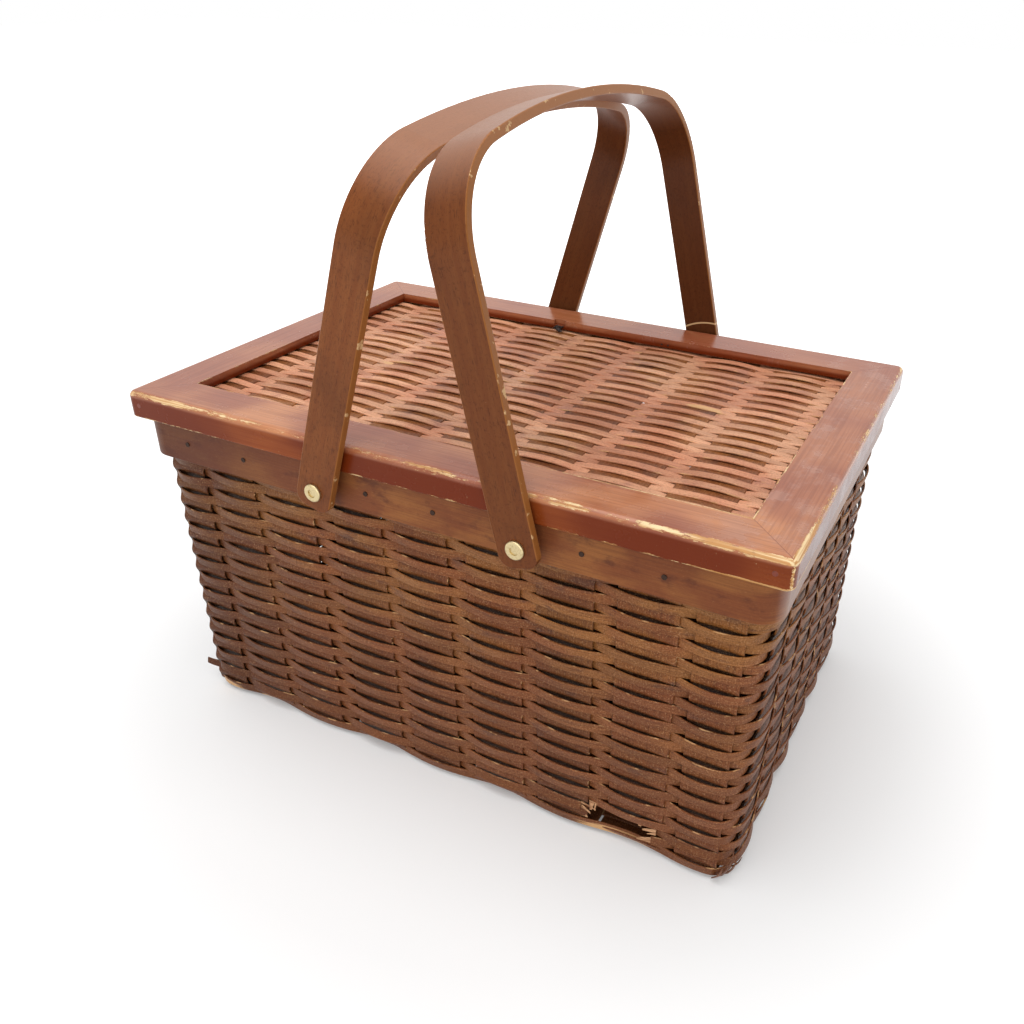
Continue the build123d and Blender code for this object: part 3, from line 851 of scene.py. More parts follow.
class WeaveTree(Tree):
    """The Geometry Nodes tree that repeats a path row by row and sweeps a splint along each.

    The path carries its own weave: phase is how far a splint stands out there, from -1 to
    1, outward is the way that it stands out, and cell counts the stakes.
    """

    INPUTS = (
        ("Rows", "NodeSocketInt"),
        ("Parity", "NodeSocketInt"),
        ("First Row", "NodeSocketVector"),
        ("Row Step", "NodeSocketVector"),
        ("Bulge", "NodeSocketFloat"),
        ("Bulge Spread", "NodeSocketFloat"),
        ("Wander", "NodeSocketFloat"),
        ("Lean", "NodeSocketFloat"),
        ("Tilt", "NodeSocketFloat"),
        ("Tight Below", "NodeSocketInt"),
        ("Tight From", "NodeSocketInt"),
        ("Tight Share", "NodeSocketFloat"),
        ("Level Width", "NodeSocketFloat"),
        ("Upright Width", "NodeSocketFloat"),
        ("Bevel", "NodeSocketFloat"),
        ("Torn Above", "NodeSocketFloat"),
        ("Torn Below", "NodeSocketFloat"),
        ("Torn From", "NodeSocketFloat"),
        ("Torn To", "NodeSocketFloat"),
        ("Seed", "NodeSocketInt"),
        ("Finish", "NodeSocketMaterial"),
    )

    def __init__(self) -> None:
        """Build the tree once."""
        super().__init__(bpy.data.node_groups.new("weave_rows", "GeometryNodeTree"))
        face = self.tree.interface
        face.new_socket("Geometry", in_out="INPUT", socket_type="NodeSocketGeometry")
        for name, kind in self.INPUTS:
            face.new_socket(name, in_out="INPUT", socket_type=kind)
        face.new_socket("Geometry", in_out="OUTPUT", socket_type="NodeSocketGeometry")
        self.given = {one.name: Signal(self, one) for one in self.node("NodeGroupInput").outputs}
        position = self.node("GeometryNodeInputPosition").outputs[0]
        self.x, self.y, self.height = self.parts(position)
        whole = self.swept(self.torn(self.woven(self.repeated())))
        self.node("NodeGroupOutput", {"Geometry": whole})

    def named(self, name: str, kind: str = "FLOAT") -> Signal:
        """Return a number or vector that the points carry."""
        found = self.node("GeometryNodeInputNamedAttribute", {"Name": name}, data_type=kind)
        return Signal(self, found.outputs[0])

    def store(self, geometry, name: str, value: Number) -> bpy.types.NodeSocket:
        """Store a number on the points and return the geometry."""
        inputs = {"Geometry": geometry, "Name": name, "Value": value}
        kept = self.node("GeometryNodeStoreNamedAttribute", inputs, data_type="FLOAT", domain="POINT")
        return kept.outputs[0]

    def without(self, geometry, chosen: Signal) -> bpy.types.NodeSocket:
        """Return the geometry without the chosen points."""
        return self.node("GeometryNodeDeleteGeometry", {0: geometry, 1: chosen}, domain="POINT").outputs[0]

    def scale(self, vector, factor: Number) -> bpy.types.NodeSocket:
        """Return a vector times a number."""
        return self.node("ShaderNodeVectorMath", {0: vector, "Scale": factor}, operation="SCALE").outputs[0]

    def random(self, **inputs: Number) -> Signal:
        """Return a random number for each ID, within Min and Max."""
        drawn = self.node("FunctionNodeRandomValue", inputs, data_type="FLOAT")
        return Signal(self, drawn.outputs["Value"])

    def repeated(self) -> bpy.types.NodeSocket:
        """Put the path on each row of the wanted parity."""
        given = self.given
        places = {"Count": given["Rows"], "Start Location": given["First Row"], "Offset": given["Row Step"]}
        line = self.node("GeometryNodeMeshLine", places, mode="OFFSET").outputs[0]
        index = Signal(self, self.node("GeometryNodeInputIndex").outputs[0])
        line = self.store(line, "row", index)
        line = self.without(line, abs(index % 2.0 - given["Parity"]))
        placed = self.node("GeometryNodeInstanceOnPoints", {"Points": line, "Instance": given["Geometry"]})
        return self.node("GeometryNodeRealizeInstances", {0: placed.outputs[0]}).outputs[0]

    def woven(self, rows: bpy.types.NodeSocket) -> bpy.types.NodeSocket:
        """Swing each row out and in round the stakes, and give it a tone of its own."""
        given, row, cell = self.given, self.named("row"), self.named("cell")
        swing = self.named("phase") * (1.0 - row % 2.0 * 2.0)
        rows = self.store(rows, "swing", swing)
        tight = self.largest(row > given["Tight From"] - 0.5, row < given["Tight Below"] - 0.5)
        share = tight * (given["Tight Share"] - 1.0) + 1.0
        spread = given["Bulge Spread"]
        own = self.random(Min=1.0 - spread, Max=spread + 1.0, ID=row * 61.0 + cell, Seed=given["Seed"])
        out = swing * given["Bulge"] * (share * own) + self.height * given["Lean"]
        place = self.vector(self.named(ALONG) * 22.0, row * 3.7, given["Seed"])
        drift = self.node("ShaderNodeTexNoise", {"Vector": place, "Scale": 1.0, "Detail": 1.0})
        drift = Signal(self, drift.outputs[0])
        upwards = self.node("ShaderNodeVectorMath", {0: given["Row Step"]}, operation="NORMALIZE").outputs[0]
        shifts = {
            0: self.scale(self.named("outward", "FLOAT_VECTOR"), out),
            1: self.scale(upwards, (drift - 0.5) * given["Wander"]),
        }
        shift = self.node("ShaderNodeVectorMath", shifts, operation="ADD").outputs[0]
        rows = self.node("GeometryNodeSetPosition", {"Geometry": rows, "Offset": shift}).outputs[0]
        return self.store(rows, TONE, self.random(ID=row, Seed=given["Seed"] + 5.0))

    def torn(self, rows: bpy.types.NodeSocket) -> bpy.types.NodeSocket:
        """Break the rows where the hole is."""
        given, along = self.given, self.named(ALONG)
        level = (self.height > given["Torn Above"]) * (self.height < given["Torn Below"])
        beside = (along > given["Torn From"]) * (along < given["Torn To"])
        return self.without(rows, level * beside)

    def swept(self, rows: bpy.types.NodeSocket) -> bpy.types.NodeSocket:
        """Sweep a splint with broken edges along each row and give it its finish."""
        given = self.given
        curve = self.node("GeometryNodeMeshToCurve", {0: rows}).outputs[0]
        curve = self.node("GeometryNodeSetCurveNormal", {"Curve": curve}, mode="Z_UP").outputs[0]
        tilt = self.largest(self.named("swing"), 0.0) * given["Tilt"]
        curve = self.node("GeometryNodeSetCurveTilt", {"Curve": curve, "Tilt": tilt}).outputs[0]
        sizes = {"Width": given["Level Width"], "Height": given["Upright Width"]}
        outline = self.node("GeometryNodeCurvePrimitiveQuadrilateral", sizes).outputs[0]
        edges = {"Curve": outline, "Count": 1, "Radius": given["Bevel"]}
        outline = self.node("GeometryNodeFilletCurve", edges, mode="POLY").outputs[0]
        upright = given["Upright Width"] > given["Level Width"]
        outline = self.store(outline, ACROSS, self.y * upright + self.x * (1.0 - upright))
        sweep = {"Curve": curve, "Profile Curve": outline, "Fill Caps": True}
        splints = self.node("GeometryNodeCurveToMesh", sweep).outputs[0]
        whole = self.node("GeometryNodeRealizeInstances", {0: splints}).outputs[0]
        finish = {"Geometry": whole, "Material": given["Finish"]}
        return self.node("GeometryNodeSetMaterial", finish).outputs[0]

    def weave(
        self, name: str, path: bpy.types.Mesh, finish: bpy.types.Material, **sizes
    ) -> bpy.types.Object:
        """Weave rows along a path and return them as a plain mesh object.

        Args:
            name: Name of the piece.
            path: Mesh of the path, with its weave as attributes.
            finish: Material of the splints.
            **sizes: The tree's inputs, with _ for a blank.

        Returns:
            The woven piece.
        """
        guide = bpy.data.objects.new(name + "_path", path)
        bpy.context.scene.collection.objects.link(guide)
        modifier = guide.modifiers.new("weave", "NODES")
        modifier.node_group = self.tree
        values = {key.replace("_", " ").title(): value for key, value in sizes.items()}
        values["Finish"] = finish
        for item in self.tree.interface.items_tree:
            if item.name in values:
                modifier[item.identifier] = values[item.name]
        graph = bpy.context.evaluated_depsgraph_get()
        graph.update()
        woven = guide.evaluated_get(graph)
        mesh = bpy.data.meshes.new_from_object(woven, preserve_all_data_layers=True, depsgraph=graph)
        guide.modifiers.clear()
        bpy.data.objects.remove(guide)
        mesh.name = name
        outward_faces(mesh)
        return finished_object(name, mesh, finish)


@dataclass
class WeavePath:
    """A path for weaving rows, built from its points and the borders between its stakes."""

    points: np.ndarray
    outward: np.ndarray
    borders: np.ndarray
    closed: bool
    damped_ends: float = 0.0
    damping: float = 0.7

    def mesh(self, name: str) -> bpy.types.Mesh:
        """Build the path's mesh with its weave as attributes.

        Args:
            name: Name of the mesh.

        Returns:
            A line of edges that carries along, phase, cell and outward.
        """
        count = len(self.points)
        edges = [(i, i + 1) for i in range(count - 1)]
        if self.closed:
            edges.append((count - 1, 0))
        mesh = bpy.data.meshes.new(name)
        mesh.from_pydata(self.points.tolist(), edges, [])
        along = run_along(self.points)
        cell = np.searchsorted(self.borders, along, side="right") - 1
        cell = np.clip(cell, 0, len(self.borders) - 2)
        low, high = self.borders[cell], self.borders[cell + 1]
        phase = np.sin(np.pi * (along - low) / (high - low)) * np.where(cell % 2 == 0, 1.0, -1.0)
        if self.damped_ends > 0:
            nearest = np.minimum(along, along[-1] - along)
            phase *= np.clip(nearest / self.damped_ends, 0.0, 1.0) ** self.damping
        set_numbers(mesh, ALONG, along)
        set_numbers(mesh, "phase", phase)
        set_numbers(mesh, "cell", cell)
        directions = mesh.attributes.new("outward", "FLOAT_VECTOR", "POINT").data
        directions.foreach_set("vector", self.outward.astype(np.float32).ravel())
        return mesh


@dataclass
class WovenWalls:
    """The four woven walls: rows of narrow weavers in and out of wide, flat stakes.

    The stake places on the front follow the photograph; the ends are spaced evenly. Sizes
    are millimetres and turns are degrees, apart from tilt, which is in radians.
    """

    stake_middles: tuple = (-171.0, -136.0, -93.0, -45.0, -2.4, 42.5, 85.2, 131.0, 168.0)
    stake_width: float = 33.0
    corner_stake_width: float = 25.0
    stake_thickness: float = 1.2
    end_stakes: int = 6
    end_stake_width: float = 28.0
    row_pitch: float = 6.2
    first_row: float = 6.2
    row_count: int = 32
    splint_width: float = 5.9
    splint_thickness: float = 1.0
    splint_bevel: float = 0.28
    bulge: float = 2.8
    bulge_spread: float = 0.22
    tight_share: float = 0.72
    wander: float = 1.5
    tilt: float = 0.2
    corner_radius: float = 12.0
    wall_taper: float = 2.6
    middle_depth: float = 3.0
    point_step: float = 2.6
    arc_step: float = 2.08
    rim_cover: float = 0.4
    foot_bend: float = 5.5
    floor_level: float = 2.6
    floor_gap: float = 1.0
    floor_swing: float = 0.75
    floor_slope: float = 8.0
    stake_swing: float = 0.9
    # turn of the weave, in degrees, at which the painted shade is darkest
    shade_turn: float = 62.0

    def __post_init__(self) -> None:
        """Read the walls' real place from the frame."""
        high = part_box("woven_wall")[1]
        self.band_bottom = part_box("outer_rim_band")[0].z
        self.top = high.z
        self.lean = self.wall_taper * MM / self.band_bottom
        self.half_x = high.x - self.middle_depth * MM
        self.half_y = high.y - self.middle_depth * MM
        self.foot_x = self.half_x - self.wall_taper * MM
        self.foot_y = self.half_y - self.wall_taper * MM
        self.long_middles = np.array(self.stake_middles) * MM
        pitch = (2 * self.foot_y - self.corner_radius * MM) / self.end_stakes
        self.end_middles = (np.arange(self.end_stakes) - (self.end_stakes - 1) / 2) * pitch

    def ring(self) -> tuple[np.ndarray, np.ndarray]:
        """Return the points and outward directions of one row at the foot, from the front left."""
        radius = self.corner_radius * MM
        reach_x, reach_y = self.foot_x - radius, self.foot_y - radius
        corners = [
            (reach_x, -reach_y, -90),
            (reach_x, reach_y, 0),
            (-reach_x, reach_y, 90),
            (-reach_x, -reach_y, 180),
        ]
        start = np.array([-reach_x, -self.foot_y])
        arc_steps = max(4, round(radius * math.pi / 2 / (self.arc_step * MM)))
        points, outward = [], []
        for x, y, angle in corners:
            turn = math.radians(angle)
            facing = np.array([math.cos(turn), math.sin(turn)])
            end = np.array([x, y]) + radius * facing
            count = max(2, round(np.linalg.norm(end - start) / (self.point_step * MM)))
            for i in range(count):
                points.append(start + (end - start) * i / count)
                outward.append(facing)
            for i in range(arc_steps):
                part = turn + math.pi / 2 * i / arc_steps
                direction = np.array([math.cos(part), math.sin(part)])
                points.append(np.array([x, y]) + radius * direction)
                outward.append(direction)
            start = np.array([x, y]) + radius * np.array([-facing[1], facing[0]])
        flat = np.zeros((len(points), 1))
        return np.hstack([np.array(points), flat]), np.hstack([np.array(outward), flat])

    def borders(self, points: np.ndarray) -> np.ndarray:
        """Return how far along the ring each gap between stakes lies.

        Args:
            points: Points of the ring.

        Returns:
            Distances along the ring, from 0 to its whole length.
        """
        whole = run_along(np.vstack([points, points[:1]]))[-1]
        radius = self.corner_radius * MM
        half_arc = radius * math.pi / 4
        inner = []
        for wall in Wall:
            long_wall = wall in (Wall.FRONT, Wall.BACK)
            middles = self.long_middles if long_wall else self.end_middles
            inner += [self.along(wall, gap) for gap in (middles[:-1] + middles[1:]) / 2]
            corner = (self.foot_x if long_wall else self.foot_y) - radius
            onward = 1 if wall in (Wall.FRONT, Wall.RIGHT) else -1
            inner.append(self.along(wall, onward * corner) + half_arc)
        inner.pop()
        return np.concatenate([[-half_arc], np.sort(inner), [whole - half_arc, whole + 2 * half_arc]])

    def along(self, wall: Wall, place: float) -> float:
        """Return how far along the ring a place on a wall lies.

        Args:
            wall: The wall.
            place: Its x on the front and back, its y on the ends.

        Returns:
            Distance along the ring.
        """
        radius = self.corner_radius * MM
        arc = radius * math.pi / 2
        long_half, end_half = self.foot_x - radius, self.foot_y - radius
        return {
            Wall.FRONT: long_half + place,
            Wall.RIGHT: 2 * long_half + arc + end_half + place,
            Wall.BACK: 3 * long_half + 2 * arc + 2 * end_half - place,
            Wall.LEFT: 4 * long_half + 3 * arc + 3 * end_half - place,
        }[wall]

    def stake_sign(self, wall: Wall, place: float) -> float:
        """Return 1 where the first row passes in front of a stake, or else -1."""
        cell = int(np.searchsorted(self.borders(self.ring()[0]), self.along(wall, place), side="right")) - 1
        return 1.0 if cell % 2 == 0 else -1.0

    def weavers(
        self, tree: WeaveTree, finish: bpy.types.Material, tear: "TornHole"
    ) -> list[bpy.types.Object]:
        """Weave the rows of the walls.

        Args:
            tree: The weaving tree.
            finish: Their finish.
            tear: The hole that the rows stop at.

        Returns:
            One piece for the even rows and one for the odd.
        """
        points, outward = self.ring()
        path = WeavePath(points, outward, self.borders(points), closed=True)
        pieces = []
        for rows in Rows:
            name = f"wall_weavers_{rows.name.lower()}"
            piece = tree.weave(
                name,
                path.mesh(name + "_line"),
                finish,
                rows=self.row_count,
                parity=rows.value,
                first_row=(0.0, 0.0, self.first_row * MM),
                row_step=(0.0, 0.0, self.row_pitch * MM),
                bulge=self.bulge * MM,
                bulge_spread=self.bulge_spread,
                wander=self.wander * MM,
                lean=self.lean,
                tilt=self.tilt,
                tight_below=1,
                tight_from=int((self.band_bottom / MM - self.first_row - 1.0) / self.row_pitch) + 1,
                tight_share=self.tight_share,
                level_width=self.splint_thickness * MM,
                upright_width=self.splint_width * MM,
                bevel=self.splint_bevel * MM,
                torn_above=tear.low * MM,
                torn_below=tear.high * MM,
                torn_from=self.along(Wall.FRONT, tear.left * MM),
                torn_to=self.along(Wall.FRONT, tear.right * MM),
                seed=11,
            )
            pieces.append(piece)
        return pieces

    def stake_path(self, half_foot: float, half_top: float) -> np.ndarray:
        """Return a stake's line from the rim down one wall, under the floor and up the other.

        Args:
            half_foot: Distance of the wall's middle from the centre at the foot.
            half_top: The same at the rim.

        Returns:
            Points (distance across the basket, height).
        """
        bend, level = self.foot_bend * MM, self.floor_level * MM
        down = [(half_top, self.top - self.rim_cover * MM), (half_top, self.band_bottom)]
        steps = round((self.band_bottom - level - bend) / (self.row_pitch * MM / 4))
        heights = np.linspace(self.band_bottom, level + bend, steps)[1:]
        down += [(half_foot + self.lean * h, h) for h in heights]
        centre = half_foot + self.lean * (level + bend) - bend
        turns = np.linspace(0, math.pi / 2, 7)[1:]
        arc = [(centre + bend * math.cos(a), level + bend - bend * math.sin(a)) for a in turns]
        flat = [(x, level) for x in np.linspace(centre, 0.0, 22)[1:-1]]
        one_side = down + arc + flat
        other = [(-x, z) for x, z in reversed(one_side)]
        return np.array(one_side + [(0.0, level)] + other)

    def stakes(self, finish: bpy.types.Material, tear: "TornHole") -> list[bpy.types.Object]:
        """Build the stakes, which cross under the basket and make its floor.

        Args:
            finish: Their finish.
            tear: The hole, which breaks the stake that it meets.

        Returns:
            One piece for the stakes that run front to back and one for the others.
        """
        rng = np.random.default_rng(7)
        thickness, outermost = self.stake_thickness * MM, self.corner_stake_width * MM
        last = len(self.long_middles) - 1
        line = self.stake_path(self.foot_y, self.half_y)
        strips = []
        for number, x in enumerate(self.long_middles):
            path = np.column_stack([np.full(len(line), x), -line[:, 0], line[:, 1]])
            self.interlace(path, path[:, 1], self.end_middles, number)
            width = self.stake_width * MM if 0 < number < last else outermost
            tone = rng.random()
            signs = (self.stake_sign(Wall.FRONT, x), self.stake_sign(Wall.BACK, x))
            pool = self.give_way(path, path[:, 1], signs)
            spread = self.floor_spread(path, width, self.long_middles, number, outermost)
            for part in tear.left_of(path, x, width):
                shares = {"spread": spread[part], "pool": pool[part]}
                strips.append(strip(path[part], ACROSS_X, width, thickness, tone, **shares))
        pieces = [join_strips("long_stakes", strips, finish)]
        line, width = self.stake_path(self.foot_x, self.half_x), self.end_stake_width * MM
        strips = []
        for number, y in enumerate(self.end_middles):
            path = np.column_stack([line[:, 0], np.full(len(line), y), line[:, 1]])
            self.interlace(path, path[:, 0], self.long_middles, number + 1)
            signs = (self.stake_sign(Wall.LEFT, y), self.stake_sign(Wall.RIGHT, y))
            pool = self.give_way(path, path[:, 0], signs)
            spread = self.floor_spread(path, width, self.end_middles, number, width)
            strips.append(strip(path, ACROSS_Y, width, thickness, rng.random(), spread=spread, pool=pool))
        pieces.append(join_strips("end_stakes", strips, finish))
        return pieces

    def give_way(self, path: np.ndarray, reach: np.ndarray, signs: tuple[float, float]) -> np.ndarray:
        """Bend a stake a little, out where a weaver passes behind it and in where one passes in front.

        Args:
            path: The stake's points, changed in place.
            reach: A view of the coordinate of the path that runs across the basket.
            signs: Whether the first row passes in front, on the low side and on the high side.

        Returns:
            How much painted shade lies at each point, which is just above each weaver in front.
        """
        pool = np.zeros(len(path))
        for i, (across, height) in enumerate(zip(reach.copy(), path[:, 2])):
            if not (self.floor_level + self.foot_bend) * MM < height < self.band_bottom:
                continue
            inward, sign = (1.0, signs[0]) if across < 0 else (-1.0, signs[1])
            turn = math.pi * (height / MM - self.first_row) / self.row_pitch
            reach[i] += inward * self.stake_swing * MM * sign * math.cos(turn)
            # painted shade, darkest just above each weaver that passes in front
            pool[i] = max(0.0, sign * math.cos(turn - math.radians(self.shade_turn)))
        return pool

    def floor_spread(
        self, path: np.ndarray, width: float, middles: np.ndarray, number: int, outermost: float
    ) -> np.ndarray:
        """Let an inner stake lie wider under the basket, where it nearly meets its neighbours.

        Args:
            path: The stake's points.
            width: Its width up the walls.
            middles: Places of all the stakes beside it.
            number: Its own number among them.
            outermost: Width of the first and the last of them, which stay narrow.

        Returns:
            The share of its width at each point.
        """
        if number in (0, len(middles) - 1):
            return np.ones(len(path))
        pitches = np.diff(middles)
        rooms = np.minimum(pitches[:-1], pitches[1:])
        room = rooms[number - 1]
        if number == 1:
            room = min(2 * pitches[0] - outermost, 2 * pitches[1] - rooms[1])
        if number == len(middles) - 2:
            room = min(2 * pitches[-1] - outermost, 2 * pitches[-2] - rooms[-2])
        above_floor = path[:, 2] / MM - self.floor_level - 1.0
        flat = 1 - np.clip(above_floor / self.foot_bend, 0.0, 1.0)
        return 1.0 + flat * ((room - self.floor_gap * MM) / width - 1.0)

    def interlace(self, path: np.ndarray, run: np.ndarray, others: np.ndarray, number: int) -> None:
        """Lift a stake over and under the stakes that it crosses in the floor.

        Args:
            path: The stake's points, changed in place.
            run: Distance of each point across the basket.
            others: Places of the stakes that it crosses.
            number: The stake's number, which says where it starts.
        """
        far = 9.0
        borders = np.concatenate([[-far], (others[:-1] + others[1:]) / 2, [far]])
        floor = path[:, 2] < (self.floor_level + 0.1) * MM
        for i in np.nonzero(floor)[0]:
            cell = int(np.searchsorted(borders, run[i]) - 1)
            away = min(abs(run[i] - borders[cell]), abs(borders[cell + 1] - run[i]))
            side = 1.0 if (cell + number) % 2 == 0 else -1.0
            path[i, 2] += side * self.floor_swing * MM * min(1.0, away / (self.floor_slope * MM))


@dataclass
class TornHole:
    """The hole torn into the front wall, low down on the right. Sizes are millimetres.

    Each stub is a broken weaver end: its way, its x and z, width, reach and curl outwards.
    Each shred hangs from above: its place as a share of the hole's width, and its width.
    """

    left: float = 100.0
    right: float = 141.0
    low: float = 10.0
    high: float = 20.0
    stake_break: tuple[float, float] = (7.0, 23.5)
    behind_middle: float = 0.6
    stub_root: float = 3.0
    shred_root: float = 4.0
    stubs: tuple = (
        (1.0, 100.0, 11.6, 4.6, 2.2, 0.6),
        (1.0, 100.0, 17.2, 2.4, 4.2, 1.4),
        (1.0, 100.0, 20.0, 1.4, 7.0, 0.4),
        (-1.0, 141.0, 11.8, 5.2, 7.5, 1.6),
        (-1.0, 141.0, 17.4, 1.8, 2.0, 0.5),
        (-1.0, 141.0, 19.6, 3.2, 4.6, 0.9),
    )
    shreds: tuple = ((0.1, 3.4), (0.16, 1.4), (0.86, 4.2))

    def left_of(self, path: np.ndarray, x: float, width: float) -> list[slice]:
        """Cut a stake's line where the hole breaks it.

        Args:
            path: The stake's points.
            x: The stake's place.
            width: Its width.

        Returns:
            The stretches that are left.
        """
        if x + width / 4 < self.left * MM or x - width / 4 > self.right * MM:
            return [slice(0, len(path))]
        height, y = path[:, 2], path[:, 1]
        low, high = self.stake_break
        first, last = np.nonzero((height > low * MM) & (height < high * MM) & (y < 0))[0][[0, -1]]
        return [slice(0, first), slice(last + 1, len(path))]

    def ragged_edges(self, wall_y: float, finish: bpy.types.Material) -> bpy.types.Object:
        """Build the pale, split ends that stand into the hole.

        Args:
            wall_y: Place of the front wall's middle.
            finish: Raw wood.

        Returns:
            One piece with all the split ends.
        """
        rng = np.random.default_rng(23)
        wall = np.array([0.0, wall_y - self.behind_middle * MM, 0.0])
        strips = []
        for side, x, z, width, reach, out in self.stubs:
            start = np.array([x - side * self.stub_root, 0.0, z]) * MM
            tip = start + np.array([side * (self.stub_root + reach), -out, rng.uniform(-1.0, 0.4)]) * MM
            points = np.linspace(start, tip, 7) + wall
            points[:, 1] -= np.linspace(0, 1, 7) ** 2 * 0.8 * MM
            piece = strip(points, UPRIGHT, width * MM, 0.7 * MM, rng.random(), 0.12 * MM)
            strips.append(piece.tapered(points, rng.uniform(0.15, 0.5)))
        for share, width in self.shreds:
            x = self.left + share * (self.right - self.left)
            start = np.array([x, 0.0, self.high + self.shred_root]) * MM
            tip = start - np.array([rng.uniform(-1.2, 1.2), 0.9, rng.uniform(4.0, 7.0)]) * MM
            points = np.linspace(start, tip, 5) + wall
            piece = strip(points, ACROSS_X, width * MM, 0.6 * MM, rng.random(), 0.1 * MM)
            strips.append(piece.tapered(points, 0.4))
        return join_strips("torn_splint_ends", strips, finish)


@dataclass
class LooseSplints:
    """Splint ends that came loose at the two front corners of the foot. Sizes are millimetres.

    Each row is the start, the tip, the width, how far the middle bows out and the share of
    the width that is left at the tip. The last one sticks out at the front left.
    """

    ends: tuple = (
        ((183.0, -121.5, 4.0), (189.0, -123.5, 28.0), 2.4, 1.6, 0.3),
        ((185.5, -118.0, 3.5), (190.5, -119.0, 21.0), 1.8, 1.2, 0.3),
        ((180.0, -123.5, 3.0), (184.5, -126.5, 15.0), 3.2, 0.9, 0.3),
        ((186.5, -112.0, 3.5), (191.5, -112.5, 14.0), 1.4, 0.8, 0.3),
        ((-184.0, -119.0, 14.0), (-195.0, -121.3, 15.6), 5.8, 0.4, 0.8),
    )
    thickness: float = 0.8
    bevel: float = 0.15

    def build(self, finish: bpy.types.Material) -> bpy.types.Object:
        """Build them all as one piece."""
        strips = []
        for number, (start, tip, width, bow, tip_share) in enumerate(self.ends):
            first, last = np.array(start) * MM, np.array(tip) * MM
            share = np.linspace(0.0, 1.0, 9)[:, None]
            out = np.array([np.sign(first[0]), -1.0, 0.0]) * bow * MM
            points = first + (last - first) * share + out * np.sin(np.pi * share)
            run = unit(last - first)
            level = abs(run[2]) < 0.5
            side = unit(np.cross(run, np.array([-out[1], out[0], 0.0]) if level else out))
            tone = (number * 0.37) % 1.0
            piece = strip(points, side, width * MM, self.thickness * MM, tone, self.bevel * MM)
            strips.append(piece.tapered(points, tip_share))
        return join_strips("loose_splint_ends", strips, finish)


@dataclass
class WovenPanel:
    """The lid's woven panel, let into the rails: weavers along X over flat stakes along Y.

    Sizes are millimetres. The crossings are the gaps between its stakes.
    """

    crossings: tuple = (-152.5, -107.5, -62.5, -17.5, 27.5, 72.5, 117.5, 162.5)
    crossing_gap: float = 5.0
    stake_width: float = 34.0
    stake_thickness: float = 1.1
    row_pitch: float = 5.65
    splint_width: float = 5.3
    splint_thickness: float = 1.0
    splint_bevel: float = 0.28
    bulge: float = 1.4
    bulge_spread: float = 0.3
    wander: float = 1.0
    tight_share: float = 0.5
    damped_ends: float = 14.0
    below_rail: float = 8.4
    point_step: float = 2.6

    def __post_init__(self) -> None:
        """Read the panel's real place from the frame."""
        self.low, self.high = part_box("lid_woven_panel")
        self.level = lid_box()[1].z - self.below_rail * MM

    def weavers(self, tree: WeaveTree, finish: bpy.types.Material) -> list[bpy.types.Object]:
        """Weave the rows of the panel, as one piece for the even rows and one for the odd."""
        count = int((self.high.x - self.low.x) / (self.point_step * MM))
        x = np.linspace(self.low.x, self.high.x, count)
        points = np.column_stack([x, np.zeros(count), np.zeros(count)])
        inner = np.array(self.crossings) * MM - self.low.x
        pitch = inner[1] - inner[0]
        borders = np.concatenate([[inner[0] - pitch], inner, [inner[-1] + pitch]])
        outward = np.tile(UPRIGHT, (count, 1))
        path = WeavePath(points, outward, borders, closed=False, damped_ends=self.damped_ends * MM)
        rows = int((self.high.y - self.low.y) / (self.row_pitch * MM))
        first = (self.low.y + self.high.y) / 2 - (rows - 1) / 2 * self.row_pitch * MM
        pieces = []
        for parity in Rows:
            name = f"panel_weavers_{parity.name.lower()}"
            piece = tree.weave(
                name,
                path.mesh(name + "_line"),
                finish,
                rows=rows,
                parity=parity.value,
                first_row=(0.0, first, self.level),
                row_step=(0.0, self.row_pitch * MM, 0.0),
                bulge=self.bulge * MM,
                bulge_spread=self.bulge_spread,
                wander=self.wander * MM,
                tight_below=2,
                tight_from=rows - 2,
                tight_share=self.tight_share,
                level_width=self.splint_width * MM,
                upright_width=self.splint_thickness * MM,
                bevel=self.splint_bevel * MM,
                seed=3,
            )
            pieces.append(piece)
        return pieces

    def stakes(self, finish: bpy.types.Material) -> bpy.types.Object:
        """Build the flat stakes of the panel, of which the two outermost run to its edges."""
        rng = np.random.default_rng(5)
        edge = self.high.x / MM
        left, right = self.crossings[0] - self.crossing_gap, self.crossings[-1] + self.crossing_gap
        widths = {(a + b) / 2: self.stake_width for a, b in zip(self.crossings[:-1], self.crossings[1:])}
        widths[(left - edge) / 2] = edge + left
        widths[(right + edge) / 2] = edge - right
        y = np.linspace(self.low.y, self.high.y, 40)
        strips = []
        for middle, width in widths.items():
            path = np.column_stack([np.full(len(y), middle * MM), y, np.full(len(y), self.level)])
            strips.append(strip(path, ACROSS_X, width * MM, self.stake_thickness * MM, rng.random()))
        return join_strips("panel_stakes", strips, finish)


